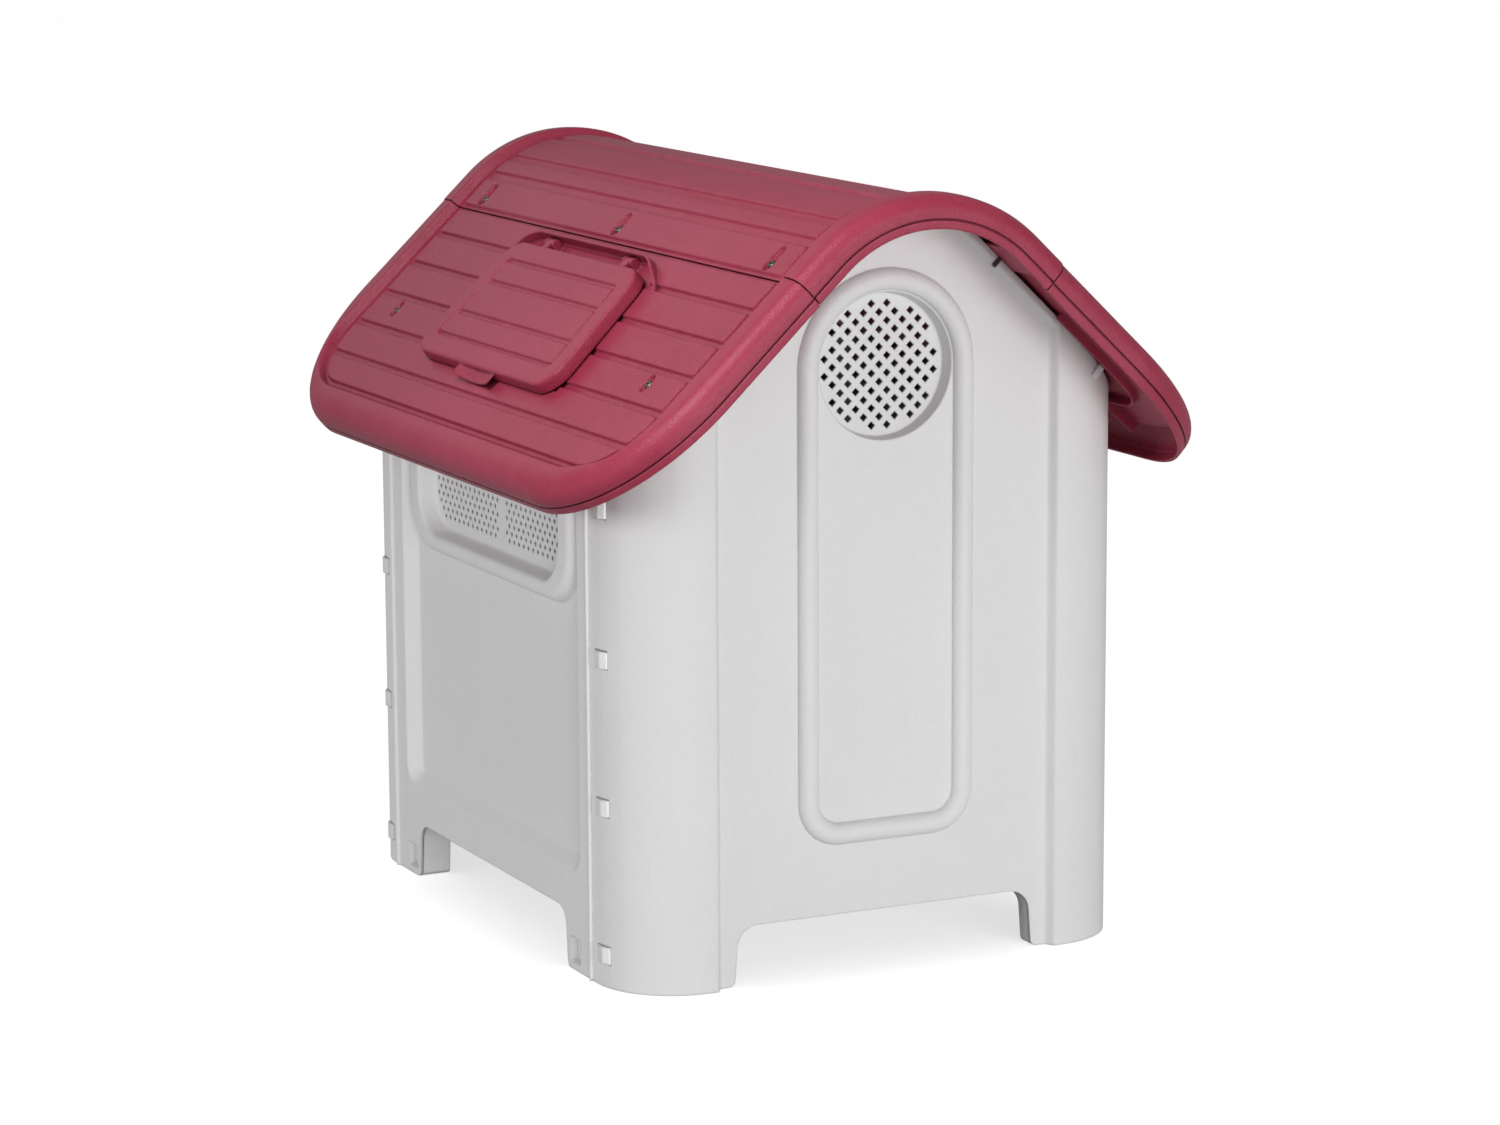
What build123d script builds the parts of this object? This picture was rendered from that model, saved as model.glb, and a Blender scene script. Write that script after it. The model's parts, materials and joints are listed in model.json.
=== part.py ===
from build123d import *
import math
import os

# Plastic dog kennel with a gabled roof, all moulded panels.
# Frame: origin on the ground at the centre of the footprint, +Z up,
# Y along the roof ridge, X across the gables. The doorway faces -Y and the
# roof hatch is on the +X slope. Lengths in millimetres.
#
# Names ending in _s are distances down a roof slope from the crest line, and
# names ending in _n are depths below the crest plane, square to the slope.

# ================================================================= shared sizes
# roof
roof_length = 750.0        # along the ridge
crest_height = 709.9       # where the two straight roof slopes would meet
slope_fall = 0.948         # fall per unit of run
ridge_radius = 142.5       # rounding over the ridge, outside
rim_depth = 28.0           # skirt depth under the crest plane
rim_round = 20.0           # rounding of the rim's outer edge
rim_width_gable = 34.0     # raised rim along the gable edges
deck_depth = 8.0           # deck plane below the crest plane
sheet = 3.0                # moulded wall thickness
pad_height = 3.0           # raised planks above the deck
seam_s = 168.0             # seam between ridge cap and lower panels
panel_drop = 0.8           # lower panels sit this much below the cap

# walls
wall_x = 236.7             # outer face of the side walls
seam_y = 225.0             # seam between side wall and gable wrap
wall_top_n = 15.5          # wall top below the crest plane
cut_height = 50.0          # height of the gaps between the legs
lug_z = (19.0, 145.0, 272.0, 398.0)   # snap lugs up each wall seam
ground_size = 900.0        # block that trims everything below the ground
ground_depth = 50.0

# hatch hinge
hinge_s, hinge_n = 187.0, 1.5
arm_y = 82.0               # middle of each hinge arm

# screws
screw_r = 2.2
cap_screw_s, cap_screw_y = 155.0, 297.5
panel_screw_s, panel_screw_y = 291.0, 273.0
cap_screw_ys = (-cap_screw_y, 0, cap_screw_y)
panel_screw_ys = (-panel_screw_y, panel_screw_y)
cap_screw_spots = [(cap_screw_s, y) for y in cap_screw_ys]
panel_screw_spots = [(panel_screw_s, y) for y in panel_screw_ys]
roof_hole_r = screw_r + 0.4
pocket_width = 9.0
pocket_sink = 0.2          # pocket floor below the deck

os.makedirs("parts", exist_ok=True)

# ================================================================= shared geometry
cos_slope = 1 / math.sqrt(1 + slope_fall ** 2)
sin_slope = slope_fall * cos_slope
arc_z = crest_height - ridge_radius / cos_slope    # centre of the ridge rounding
crown_s = ridge_radius * slope_fall                # where the rounding meets the slope
half_len = roof_length / 2


def plane_at_y(y):
    """XZ plane at this y. Its normal is -Y, so a negative extrusion goes to +Y."""
    return Plane.XZ.offset(-y)


def edges_at_z(builder, z):
    return builder.edges().filter_by(lambda e: abs(e.center().Z - z) < 0.01)


def slope_plane(depth, side=1):
    """Plane parallel to one roof slope, at a depth below its crest plane.
    Local x runs down the slope, local z is the outward normal."""
    return Plane(origin=(-side * depth * sin_slope, 0, crest_height - depth * cos_slope),
                 x_dir=(side * cos_slope, 0, -sin_slope), z_dir=(side * sin_slope, 0, cos_slope))


def slope_point(down, depth, side=1):
    """XZ point at a distance down the slope and a depth below it."""
    return (side * (down * cos_slope - depth * sin_slope),
            crest_height - down * sin_slope - depth * cos_slope)


def roof_strip(outer, inner, reach):
    """XZ outline of the roof section between two depths, over the ridge and
    down both slopes as far as reach."""
    outer_right, outer_left = [slope_point(crown_s, outer, side) for side in (1, -1)]
    inner_right, inner_left = [slope_point(crown_s, inner, side) for side in (1, -1)]
    outer_end_right, outer_end_left = [slope_point(reach, outer, side) for side in (1, -1)]
    inner_end_right, inner_end_left = [slope_point(reach, inner, side) for side in (1, -1)]
    with BuildSketch() as strip:
        with BuildLine():
            Line(outer_end_left, outer_left)
            ThreePointArc(outer_left, (0, arc_z + ridge_radius - outer), outer_right)
            Line(outer_right, outer_end_right)
            Line(outer_end_right, inner_end_right)
            Line(inner_end_right, inner_right)
            ThreePointArc(inner_right, (0, arc_z + ridge_radius - inner), inner_left)
            Line(inner_left, inner_end_left)
            Line(inner_end_left, outer_end_left)
        make_face()
    return strip.sketch


def under_roof(depth, half_width=400, bottom=-20):
    """XZ outline of everything under the roof line at this depth."""
    right, left = [slope_point(crown_s, depth, side) for side in (1, -1)]
    end_z = crest_height - half_width * slope_fall - depth / cos_slope
    with BuildSketch() as region:
        with BuildLine():
            Line((-half_width, end_z), left)
            ThreePointArc(left, (0, arc_z + ridge_radius - depth), right)
            Line(right, (half_width, end_z))
            Line((half_width, end_z), (half_width, bottom))
            Line((half_width, bottom), (-half_width, bottom))
            Line((-half_width, bottom), (-half_width, end_z))
        make_face()
    return region.sketch


def leg_gap(half_bottom, half_top, corner, grow):
    """Tapered gap between two legs, with rounded upper corners."""
    with BuildSketch() as gap:
        with BuildLine():
            Polyline((-half_bottom - grow, -5), (-half_top - grow, cut_height + grow),
                     (half_top + grow, cut_height + grow), (half_bottom + grow, -5), close=True)
        make_face()
        fillet(gap.vertices().sort_by(Axis.Y)[-2:], radius=corner + grow)
    return gap.sketch


# ================================================================= ridge cap
cap_reach = 2 * (half_len - rim_width_gable)   # length between the rims
cap_plank_end_gap = 9.0                        # from rim to plank end
cap_plank_steps = 8                            # chords across each curved plank
crown_arc = ridge_radius * math.atan(slope_fall)


def to_arc(down):
    """Arc length from the ridge top for a slope distance."""
    return crown_arc + (down - crown_s)


def cap_point(arc, depth):
    """Point of the ridge section at an arc length from the ridge top."""
    side = 1 if arc >= 0 else -1
    arc = abs(arc)
    if arc <= crown_arc:
        angle = arc / ridge_radius
        radius = ridge_radius - depth
        return (side * radius * math.sin(angle), arc_z + radius * math.cos(angle))
    return slope_point(crown_s + (arc - crown_arc), depth, side)


def on_crest(edge, depth):
    """True for an edge of the roof section lying at this depth."""
    if edge.geom_type == GeomType.CIRCLE:
        return abs(edge.radius - (ridge_radius - depth)) < 0.5
    centre = edge.center()
    edge_depth = (crest_height - centre.Z) * cos_slope - abs(centre.X) * sin_slope
    return edge.length > 20 and abs(edge_depth - depth) < 0.5


def cap_end_edges(builder, end_y, depth):
    """Edges of both gable ends of the cap that follow the roof line."""
    ends = builder.edges().filter_by(lambda e: abs(abs(e.center().Y) - end_y) < 0.1)
    return ends.filter_by(lambda e: on_crest(e, depth))


# start and end of each plank, as arc lengths from the ridge top
right_planks = [(26.0, 68.0), (78.0, to_arc(122)), (to_arc(132), to_arc(seam_s) - 5)]
left_planks = [(-end, -start) for start, end in reversed(right_planks)]
cap_planks = left_planks + [(-16.0, 16.0)] + right_planks

# room under the cap's rims, following the rounded outside
with BuildPart() as cap_hollow:
    with BuildSketch(plane_at_y(half_len - sheet)):
        add(roof_strip(sheet, rim_depth + 10, seam_s + 40))
    extrude(amount=2 * (half_len - sheet))
    fillet(cap_end_edges(cap_hollow, half_len - sheet, sheet), radius=rim_round - sheet)

with BuildPart() as ridge_cap:
    # solid section with rounded gable edges
    with BuildSketch(plane_at_y(half_len)):
        add(roof_strip(0, rim_depth, seam_s))
    extrude(amount=2 * half_len)
    fillet(cap_end_edges(ridge_cap, half_len, 0), radius=rim_round)
    add(cap_hollow.part, mode=Mode.SUBTRACT)
    # open the middle between the rims
    with BuildSketch(plane_at_y(half_len - rim_width_gable - sheet)):
        add(roof_strip(-1, rim_depth + 5, seam_s + 5))
    extrude(amount=cap_reach - 2 * sheet, mode=Mode.SUBTRACT)
    # webs down from the rims, then the sunk deck between them
    for web_y in (-(half_len - rim_width_gable), half_len - rim_width_gable - sheet):
        with BuildSketch(plane_at_y(web_y)):
            add(roof_strip(0, deck_depth + sheet, seam_s))
        extrude(amount=-sheet)
    with BuildSketch(plane_at_y(half_len - rim_width_gable)):
        add(roof_strip(deck_depth, deck_depth + sheet, seam_s))
    extrude(amount=cap_reach)
    # planks
    for start, end in cap_planks:
        arcs = [start + (end - start) * i / cap_plank_steps for i in range(cap_plank_steps + 1)]
        top_points = [cap_point(arc, deck_depth - pad_height) for arc in arcs]
        low_points = [cap_point(arc, deck_depth + 1) for arc in reversed(arcs)]
        with BuildSketch(plane_at_y(half_len - rim_width_gable - cap_plank_end_gap)):
            with BuildLine():
                Polyline(*top_points, *low_points, close=True)
            make_face()
        extrude(amount=cap_reach - 2 * cap_plank_end_gap)
    # screw pockets and holes, three along each slope
    for side in (1, -1):
        with BuildSketch(slope_plane(deck_depth - pad_height - 2, side)):
            with Locations(*[(cap_screw_s - 5, y) for y in cap_screw_ys]):
                SlotOverall(23, pocket_width)
        extrude(amount=-(pad_height + 2 + pocket_sink), mode=Mode.SUBTRACT)
        with BuildSketch(slope_plane(0, side)):
            with Locations(*cap_screw_spots):
                Circle(roof_hole_r)
        extrude(amount=-25, mode=Mode.SUBTRACT)

# ================================================================= lower roof panels
# Both panels are made flat (x down the slope, y along the ridge, z outward
# from the crest plane) and then laid on their slope.
eave_s = 419.0             # distance down the slope to the eave edge
eave_corner_radius = 140.0 # in-plane rounding of the eave corners
rim_width_eave = 24.0      # raised rim along the eave
panel_top_s = seam_s + 0.5 # upper edge of the panel
deck_taper = -42           # slope of the sunk deck's sides, degrees
deck_under = deck_depth + sheet

plank_lines = (202.8, 239.6, 276.6, 314.0, 351.0)   # middles of the plank grooves
groove = 6.0               # gap between planks
last_plank_end = 383.0
plank_inset = 2.5          # planks stop this far inside the deck's edge

tongue_top_s = 138.0       # tongue that runs up under the ridge cap
tongue_end_s = panel_top_s + 4
tongue_width = 2 * (half_len - 42)
tongue_depth = deck_under + 3.4
joggle_length = 3.0        # step that joins the tongue to the panel

part_line_width = 0.8
part_line_depth = 0.7

rib_s = 371.0              # middle of the stiffening ribs under the eaves
rib_pitch = 46.0
locate_s = 351.5           # locating rib, outside the side walls
locate_y = 305.0           # locating rib, outside the gables
locate_length = 130.0      # up the slope, before its upper end is cut off
locate_width = 2.5
locate_corner = 40.0


def eave_outline(eave, half, radius, start):
    """Panel outline from start down to a rounded-cornered eave."""
    with BuildSketch() as outline:
        with BuildLine():
            Line((start, -half), (eave - radius, -half))
            RadiusArc((eave - radius, -half), (eave, -half + radius), -radius)
            Line((eave, -half + radius), (eave, half - radius))
            RadiusArc((eave, half - radius), (eave - radius, half), -radius)
            Line((eave - radius, half), (start, half))
            Line((start, half), (start, -half))
        make_face()
    return outline.sketch


def panel_outline(inset, start):
    """Outline of a lower panel, inset from its free edges."""
    return eave_outline(eave_s - inset, half_len - inset, eave_corner_radius - inset, start)


def deck_outline(grow, start):
    """Outline of a lower panel's sunk deck."""
    return eave_outline(eave_s - rim_width_eave - deck_depth + grow,
                        half_len - rim_width_gable - deck_depth + grow,
                        eave_corner_radius - rim_width_gable - deck_depth + grow, start)


# room under a lower panel
with BuildPart() as panel_hollow:
    with BuildSketch(Plane.XY.offset(-rim_depth - 10)):
        add(panel_outline(sheet, panel_top_s - 20))
    extrude(amount=rim_depth + 10 - sheet)
    fillet(edges_at_z(panel_hollow, -sheet)
           .filter_by(lambda e: e.center().X > panel_top_s - 10), radius=rim_round - sheet)
    with BuildSketch(Plane.XY.offset(-deck_under)):
        add(deck_outline(1.0, panel_top_s - 30))
    extrude(amount=deck_under + 1, taper=deck_taper, mode=Mode.SUBTRACT)

with BuildPart() as flat_panel:
    add(panel_outline(0, panel_top_s))
    extrude(amount=-rim_depth)
    fillet(edges_at_z(flat_panel, 0)
           .filter_by(lambda e: e.center().X > panel_top_s + 1), radius=rim_round)
    # sunk deck with sloped sides
    with BuildSketch(Plane.XY.offset(-deck_depth)):
        add(deck_outline(0, panel_top_s - 20))
    extrude(amount=deck_depth + 1, taper=deck_taper, mode=Mode.SUBTRACT)
    # hollow underneath
    add(panel_hollow.part, mode=Mode.SUBTRACT)
    # tongue under the ridge cap, and its joggle
    with BuildSketch(Plane.XY.offset(-tongue_depth)):
        with Locations(((tongue_top_s + tongue_end_s) / 2, 0)):
            Rectangle(tongue_end_s - tongue_top_s, tongue_width)
    extrude(amount=2.4)
    with BuildSketch(Plane.XY.offset(-tongue_depth)):
        with Locations((tongue_end_s - joggle_length / 2, 0)):
            Rectangle(joggle_length, tongue_width)
    extrude(amount=4.4)
    # planks
    plank_starts = [panel_top_s + 2.5] + [line + groove / 2 for line in plank_lines]
    plank_ends = [line - groove / 2 for line in plank_lines] + [last_plank_end]
    for start, end in zip(plank_starts, plank_ends):
        with BuildSketch(Plane.XY.offset(-deck_depth)):
            with Locations(((start + end) / 2, 0)):
                Rectangle(end - start,
                          2 * (half_len - rim_width_gable - deck_depth - plank_inset))
            add(deck_outline(-plank_inset, panel_top_s - 20), mode=Mode.INTERSECT)
        extrude(amount=pad_height, taper=20)
    # parting line round the skirt
    with BuildSketch(Plane.XY.offset(-rim_depth + 8)):
        add(panel_outline(-1, panel_top_s - 5))
        add(panel_outline(part_line_depth, panel_top_s - 10), mode=Mode.SUBTRACT)
    extrude(amount=part_line_width, mode=Mode.SUBTRACT)
    # two screw pockets, then through holes for these and the cap's screws
    with BuildSketch(Plane.XY.offset(-deck_depth - pocket_sink)):
        with Locations(*panel_screw_spots):
            SlotOverall(16, pocket_width)
    extrude(amount=pad_height + 2, mode=Mode.SUBTRACT)
    with BuildSketch(Plane.XY):
        with Locations(*panel_screw_spots):
            Circle(roof_hole_r)
        with Locations(*cap_screw_spots):
            Circle(roof_hole_r)
    extrude(amount=-30, mode=Mode.SUBTRACT)
    # stiffening ribs under the overhang, down the slope
    with BuildSketch(Plane.XY.offset(-deck_under - 9)):
        with Locations(*[(rib_s, rib_pitch * i) for i in range(-5, 6)]):
            Rectangle(40, 2.0)
    extrude(amount=9.5)
    # locating rib that drops outside the walls
    with BuildSketch(Plane.XY.offset(-deck_under - 7)):
        with Locations((locate_s - locate_length / 2, 0)):
            RectangleRounded(locate_length, 2 * locate_y, locate_corner)
            RectangleRounded(locate_length - 2 * locate_width, 2 * (locate_y - locate_width),
                             locate_corner - locate_width, mode=Mode.SUBTRACT)
        with Locations((locate_s - locate_length, 0)):
            Rectangle(100, 700, mode=Mode.SUBTRACT)
    extrude(amount=7.5)

with BuildPart() as roof_panel_plain_side:
    add(flat_panel.part.moved(slope_plane(panel_drop).location))
    mirror(about=Plane.YZ, mode=Mode.REPLACE)

# ---------------------------------------------------------------- panel with the hatch
opening_s0, opening_s1 = 206.0, 317.0   # outside of the upstand
upstand_half = 124.0
upstand_corner = 16.0
upstand_width = 3.0
lip_half_width = 1.3
ear_gap = 5.4              # from the middle of an arm to the ear's near face
ear_width = 3.2
ear_r = 4.6
pin_bore_r = 2.48

# (s, y) corners of the plain field under the lid
field_points = ((183.5, -108), (183.5, 108), (199, 133), (322, 141), (322, -141), (199, -133))
# (s, y) middle line of the rain lip, from its +Y end to the straight part
lip_points = [(206, 153), (199, 148), (182.5, 120), (180.5, 112)]
# (s, z) wedge cut from each end of the lip
lip_cut_points = ((180, 6), (184, 4.6), (208, -4.6), (215, -4.6), (215, 20), (180, 20))

with BuildPart() as flat_hatch_panel:
    add(flat_panel.part)
    # plain field under the lid, then the opening with an upstand round it
    with BuildSketch(Plane.XY.offset(-deck_depth)) as field:
        with BuildLine():
            Polyline(*field_points, close=True)
        make_face()
        fillet(field.vertices(), radius=10)
    extrude(amount=20, mode=Mode.SUBTRACT)
    with BuildSketch(Plane.XY.offset(-deck_depth - 0.5)):
        with Locations(((opening_s0 + opening_s1) / 2, 0)):
            RectangleRounded(opening_s1 - opening_s0, 2 * upstand_half, upstand_corner)
    extrude(amount=deck_depth + 1.5)
    with BuildSketch(Plane.XY.offset(-deck_depth - 12)):
        with Locations(((opening_s0 + opening_s1) / 2, 0)):
            RectangleRounded(opening_s1 - opening_s0 - 2 * upstand_width,
                             2 * (upstand_half - upstand_width), upstand_corner - upstand_width)
    extrude(amount=deck_depth + 30, mode=Mode.SUBTRACT)
    # rain lip above the lid, turned down at both ends
    with BuildSketch(Plane.XY.offset(-deck_depth - 0.5)):
        with BuildLine():
            Polyline(*[(s, -y) for s, y in lip_points], *reversed(lip_points))
            offset(amount=lip_half_width, kind=Kind.ARC, side=Side.BOTH)
        make_face()
    extrude(amount=deck_depth + 0.5 + 5)
    # the lip's ends slope down to the planks
    for cut_y in (-168, 128):
        with BuildSketch(plane_at_y(cut_y)):
            with BuildLine():
                Polyline(*lip_cut_points, close=True)
            make_face()
        extrude(amount=-40, mode=Mode.SUBTRACT)
    # a pair of hinge ears for each of the lid's arms
    for middle_y in (-arm_y, arm_y):
        for ear_y in (middle_y - ear_gap - ear_width, middle_y + ear_gap):
            with BuildSketch(plane_at_y(ear_y)):
                with Locations((hinge_s, -hinge_n)):
                    Circle(ear_r)
                with Locations((hinge_s, -(hinge_n + deck_depth + 1) / 2)):
                    Rectangle(2 * ear_r, deck_depth + 1 - hinge_n)
                with Locations((hinge_s, -hinge_n)):
                    Circle(pin_bore_r, mode=Mode.SUBTRACT)
            extrude(amount=-ear_width)

with BuildPart() as roof_panel_hatch_side:
    add(flat_hatch_panel.part.moved(slope_plane(panel_drop).location))

# ================================================================= hatch lid
# Made flat like the panels. Heights are above the crest plane.
lid_top = 7.5
lid_bottom = -4.2
lid_s0, lid_s1 = 196.0, 330.0         # upper and lower edges
lid_half0, lid_half1 = 135.0, 149.0   # half widths at those edges
lid_corner = 26.0
lid_wall = 2.6
lid_skin = 4.5
tab_half = 37.0
arm_half = 4.6             # half width of a hinge arm
arm_r = 4.2
pin_r = 2.4
pin_half = 8.4             # half length of a hinge pin

lid_planks = ((222.0, 242.0), (247.0, 279.0), (284.0, 304.5))   # s from, s to
# pull tab section: s from the lid's lower edge, z from its top
tab_points = ((-3, -3), (3, -3.6), (8, -6.0), (11.5, -9.8),
              (9.4, -10.8), (6.3, -7.8), (2, -5.9), (-3, -5.4))


def lid_outline(inset, corner):
    with BuildSketch() as outline:
        with BuildLine():
            Polyline((lid_s0 + inset, -lid_half0 + inset), (lid_s0 + inset, lid_half0 - inset),
                     (lid_s1 - inset, lid_half1 - inset), (lid_s1 - inset, -lid_half1 + inset),
                     close=True)
        make_face()
        fillet(outline.vertices(), radius=corner)
    return outline.sketch


with BuildPart() as flat_lid:
    with BuildSketch(Plane.XY.offset(lid_bottom)):
        add(lid_outline(0, lid_corner))
    extrude(amount=lid_top - lid_bottom)
    fillet(edges_at_z(flat_lid, lid_top), radius=4)
    with BuildSketch(Plane.XY.offset(lid_bottom - 1)):
        add(lid_outline(lid_wall, lid_corner - lid_wall))
    extrude(amount=lid_top - lid_bottom + 1 - lid_skin, mode=Mode.SUBTRACT)
    # sunk field with three raised planks
    with BuildSketch(Plane.XY.offset(lid_top - 1.6)):
        add(lid_outline(21, 7))
    extrude(amount=3, mode=Mode.SUBTRACT)
    for start, end in lid_planks:
        with BuildSketch(Plane.XY.offset(lid_top - 2.2)):
            with Locations(((start + end) / 2, 0)):
                Rectangle(end - start, 2 * 120)
            add(lid_outline(24, 5), mode=Mode.INTERSECT)
        extrude(amount=2.0)
    # curved pull tab on the lower edge
    with BuildSketch(plane_at_y(-tab_half)):
        with BuildLine():
            Polyline(*[(lid_s1 + s, lid_top + z) for s, z in tab_points], close=True)
        make_face()
    extrude(amount=-2 * tab_half)
    # two hinge arms carrying the pins
    for middle_y in (-arm_y, arm_y):
        with BuildSketch(plane_at_y(middle_y - arm_half)):
            with Locations((hinge_s, -hinge_n)):
                Circle(arm_r)
            with BuildLine():
                Polyline((hinge_s, -hinge_n + arm_r), (lid_s0 + 1.5, -hinge_n + arm_r),
                         (lid_s0 + 1.5, -hinge_n - 1.0), (hinge_s, -hinge_n - 1.0), close=True)
            make_face()
        extrude(amount=-2 * arm_half)
        with BuildSketch(plane_at_y(middle_y - pin_half)):
            with Locations((hinge_s, -hinge_n)):
                Circle(pin_r)
        extrude(amount=-2 * pin_half)

with BuildPart() as hatch_lid:
    add(flat_lid.part.moved(slope_plane(panel_drop).location))

# ================================================================= gable walls
gable_panel_y = 289.7      # outer face of the flat gable panel
column_y = 297.7           # outer face of the gable's corner columns
corner_r = 55.0            # plan rounding of the corner columns
step_x = 152.8             # inner edge of the corner columns
step_run = 3.0             # half width in x of the sloped step beside a column
band_bottom_n = 23.2       # lower edge of the raised band under the roof
gable_gap = (141.0, 118.0, 20)   # leg gap: half width at ground, at top, corner radius
flange_y = 258.0           # inner edge of the flange the roof sits on
cut_y = 200.0              # through cuts start here and run cut_length to +Y
cut_length = 200.0


def gable_plan(grow, open_y):
    """Plan outline of a gable wall and its wrap, at the +Y end."""
    x, y, panel_y = wall_x + grow, column_y + grow, gable_panel_y + grow
    radius = corner_r + grow
    step = step_x - grow
    with BuildSketch() as plan:
        with BuildLine():
            Line((x, open_y), (x, y - radius))
            RadiusArc((x, y - radius), (x - radius, y), -radius)
            Line((x - radius, y), (step + step_run, y))
            Line((step + step_run, y), (step - step_run, panel_y))
            Line((step - step_run, panel_y), (-step + step_run, panel_y))
            Line((-step + step_run, panel_y), (-step - step_run, y))
            Line((-step - step_run, y), (-x + radius, y))
            RadiusArc((-x + radius, y), (-x, y - radius), -radius)
            Line((-x, y - radius), (-x, open_y))
            Line((-x, open_y), (x, open_y))
        make_face()
    return plan.sketch


def arch_face(half, bottom, corner, centre_z):
    """Arch outline: rounded foot corners, straight sides and a round top."""
    with BuildSketch() as arch:
        with BuildLine():
            Line((-half + corner, bottom), (half - corner, bottom))
            RadiusArc((half - corner, bottom), (half, bottom + corner), -corner)
            Line((half, bottom + corner), (half, centre_z))
            ThreePointArc((half, centre_z), (0, centre_z + half), (-half, centre_z))
            Line((-half, centre_z), (-half, bottom + corner))
            RadiusArc((-half, bottom + corner), (-half + corner, bottom), -corner)
        make_face()
    return arch.sketch


# common body of both gables, standing at the +Y end
with BuildPart() as gable_body:
    with BuildSketch():
        add(gable_plan(0, seam_y))
        add(gable_plan(-sheet, seam_y - 10), mode=Mode.SUBTRACT)
    extrude(amount=680)
    # raised band under the roof line
    with BuildSketch(plane_at_y(gable_panel_y - sheet)):
        add(roof_strip(wall_top_n, band_bottom_n, 225.0))
    extrude(amount=-(column_y - gable_panel_y + sheet))
    # flange the roof sits on
    with BuildSketch(plane_at_y(flange_y)):
        add(roof_strip(wall_top_n, wall_top_n + sheet, 318.0))
    extrude(amount=-(column_y - 2 - flange_y))
    # return round the leg gap
    with BuildSketch(plane_at_y(gable_panel_y - 18)):
        add(leg_gap(*gable_gap, grow=sheet))
    extrude(amount=-17)
    # keep what is under the roof line and above the ground
    with BuildSketch(plane_at_y(cut_y)):
        add(under_roof(wall_top_n))
    extrude(amount=-cut_length, mode=Mode.INTERSECT)
    with BuildSketch():
        Rectangle(ground_size, ground_size)
    extrude(amount=-ground_depth, mode=Mode.SUBTRACT)
    with BuildSketch(plane_at_y(cut_y)):
        add(leg_gap(*gable_gap, grow=0))
    extrude(amount=-cut_length, mode=Mode.SUBTRACT)
    # windows for the side walls' snap lugs
    for window_x in (wall_x + 5, -wall_x + 10):
        with BuildSketch(Plane.YZ.offset(window_x)):
            with Locations(*[(235.5, z) for z in lug_z]):
                Rectangle(14.5, 15.5)
        extrude(amount=-15, mode=Mode.SUBTRACT)
    # catch lugs high on the corner columns
    for side in (1, -1):
        with BuildSketch(slope_plane(wall_top_n + 1.0, side)):
            with Locations((295.3, side * (column_y - 2.5))):
                Rectangle(6, 6.5)
        extrude(amount=-12)
    # holes for the roof screws; local y is reversed on the -X slope
    for side in (1, -1):
        with BuildSketch(slope_plane(wall_top_n - 2, side)):
            with Locations((cap_screw_s, side * cap_screw_y),
                           (panel_screw_s, side * panel_screw_y)):
                Circle(screw_r + 0.15)
        extrude(amount=-18, mode=Mode.SUBTRACT)

# ---------------------------------------------------------------- back wall
bead_half = 71.9           # centre line of the arched bead
bead_side = 18.2 / 2       # half the bead's width
bead_height = 8.0
bead_corner = 29.0
arch_z = 508.0             # centre of the arch and of the round vent
arch_bottom = 119.5
vent_r = 60.0
vent_wall = 1.5            # well wall to each side of vent_r
vent_depth = 12.0
vent_pitch = 14.4          # of the perforation, along a row
vent_hole = 4.6
vent_cut_y = gable_panel_y - vent_depth - 2

with BuildPart() as bead:
    with BuildSketch(plane_at_y(gable_panel_y - 1)):
        add(arch_face(bead_half + bead_side, arch_bottom - bead_side,
                      bead_corner + bead_side, arch_z))
        add(arch_face(bead_half - bead_side, arch_bottom + bead_side,
                      bead_corner - bead_side, arch_z), mode=Mode.SUBTRACT)
    extrude(amount=-(bead_height + 1))
    fillet(bead.edges()
           .filter_by(lambda e: abs(e.center().Y - gable_panel_y - bead_height) < 0.01),
           radius=bead_height - 0.6)

# staggered grid: every other point of a square grid of half the pitch
vent_centres = [(i * vent_pitch / 2, arch_z + j * vent_pitch / 2)
                for i in range(-9, 10) for j in range(-9, 10)
                if (i + j) % 2 == 0 and math.hypot(i, j) * vent_pitch / 2 < vent_r - 5.0]

with BuildPart() as back_wall:
    add(gable_body.part)
    add(bead.part)
    # sunk round vent
    with BuildSketch(plane_at_y(gable_panel_y - vent_depth)):
        with Locations((0, arch_z)):
            Circle(vent_r + vent_wall)
    extrude(amount=-(vent_depth - 1))
    with BuildSketch(plane_at_y(gable_panel_y - vent_depth + sheet)):
        with Locations((0, arch_z)):
            Circle(vent_r - vent_wall)
    extrude(amount=-30, taper=-6, mode=Mode.SUBTRACT)
    # perforation, cut both ways from one plane
    for cut_amount in (12, -12):
        with BuildSketch(plane_at_y(vent_cut_y)):
            with Locations(*vent_centres):
                Rectangle(vent_hole, vent_hole, rotation=45)
        extrude(amount=cut_amount, mode=Mode.SUBTRACT)

# ---------------------------------------------------------------- front wall
door_half = 122.0
door_bottom = 95.0
door_top = 480.0
door_frame_width = 16.0
door_frame_height = 7.0
door_arch_z = door_top - door_half

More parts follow.
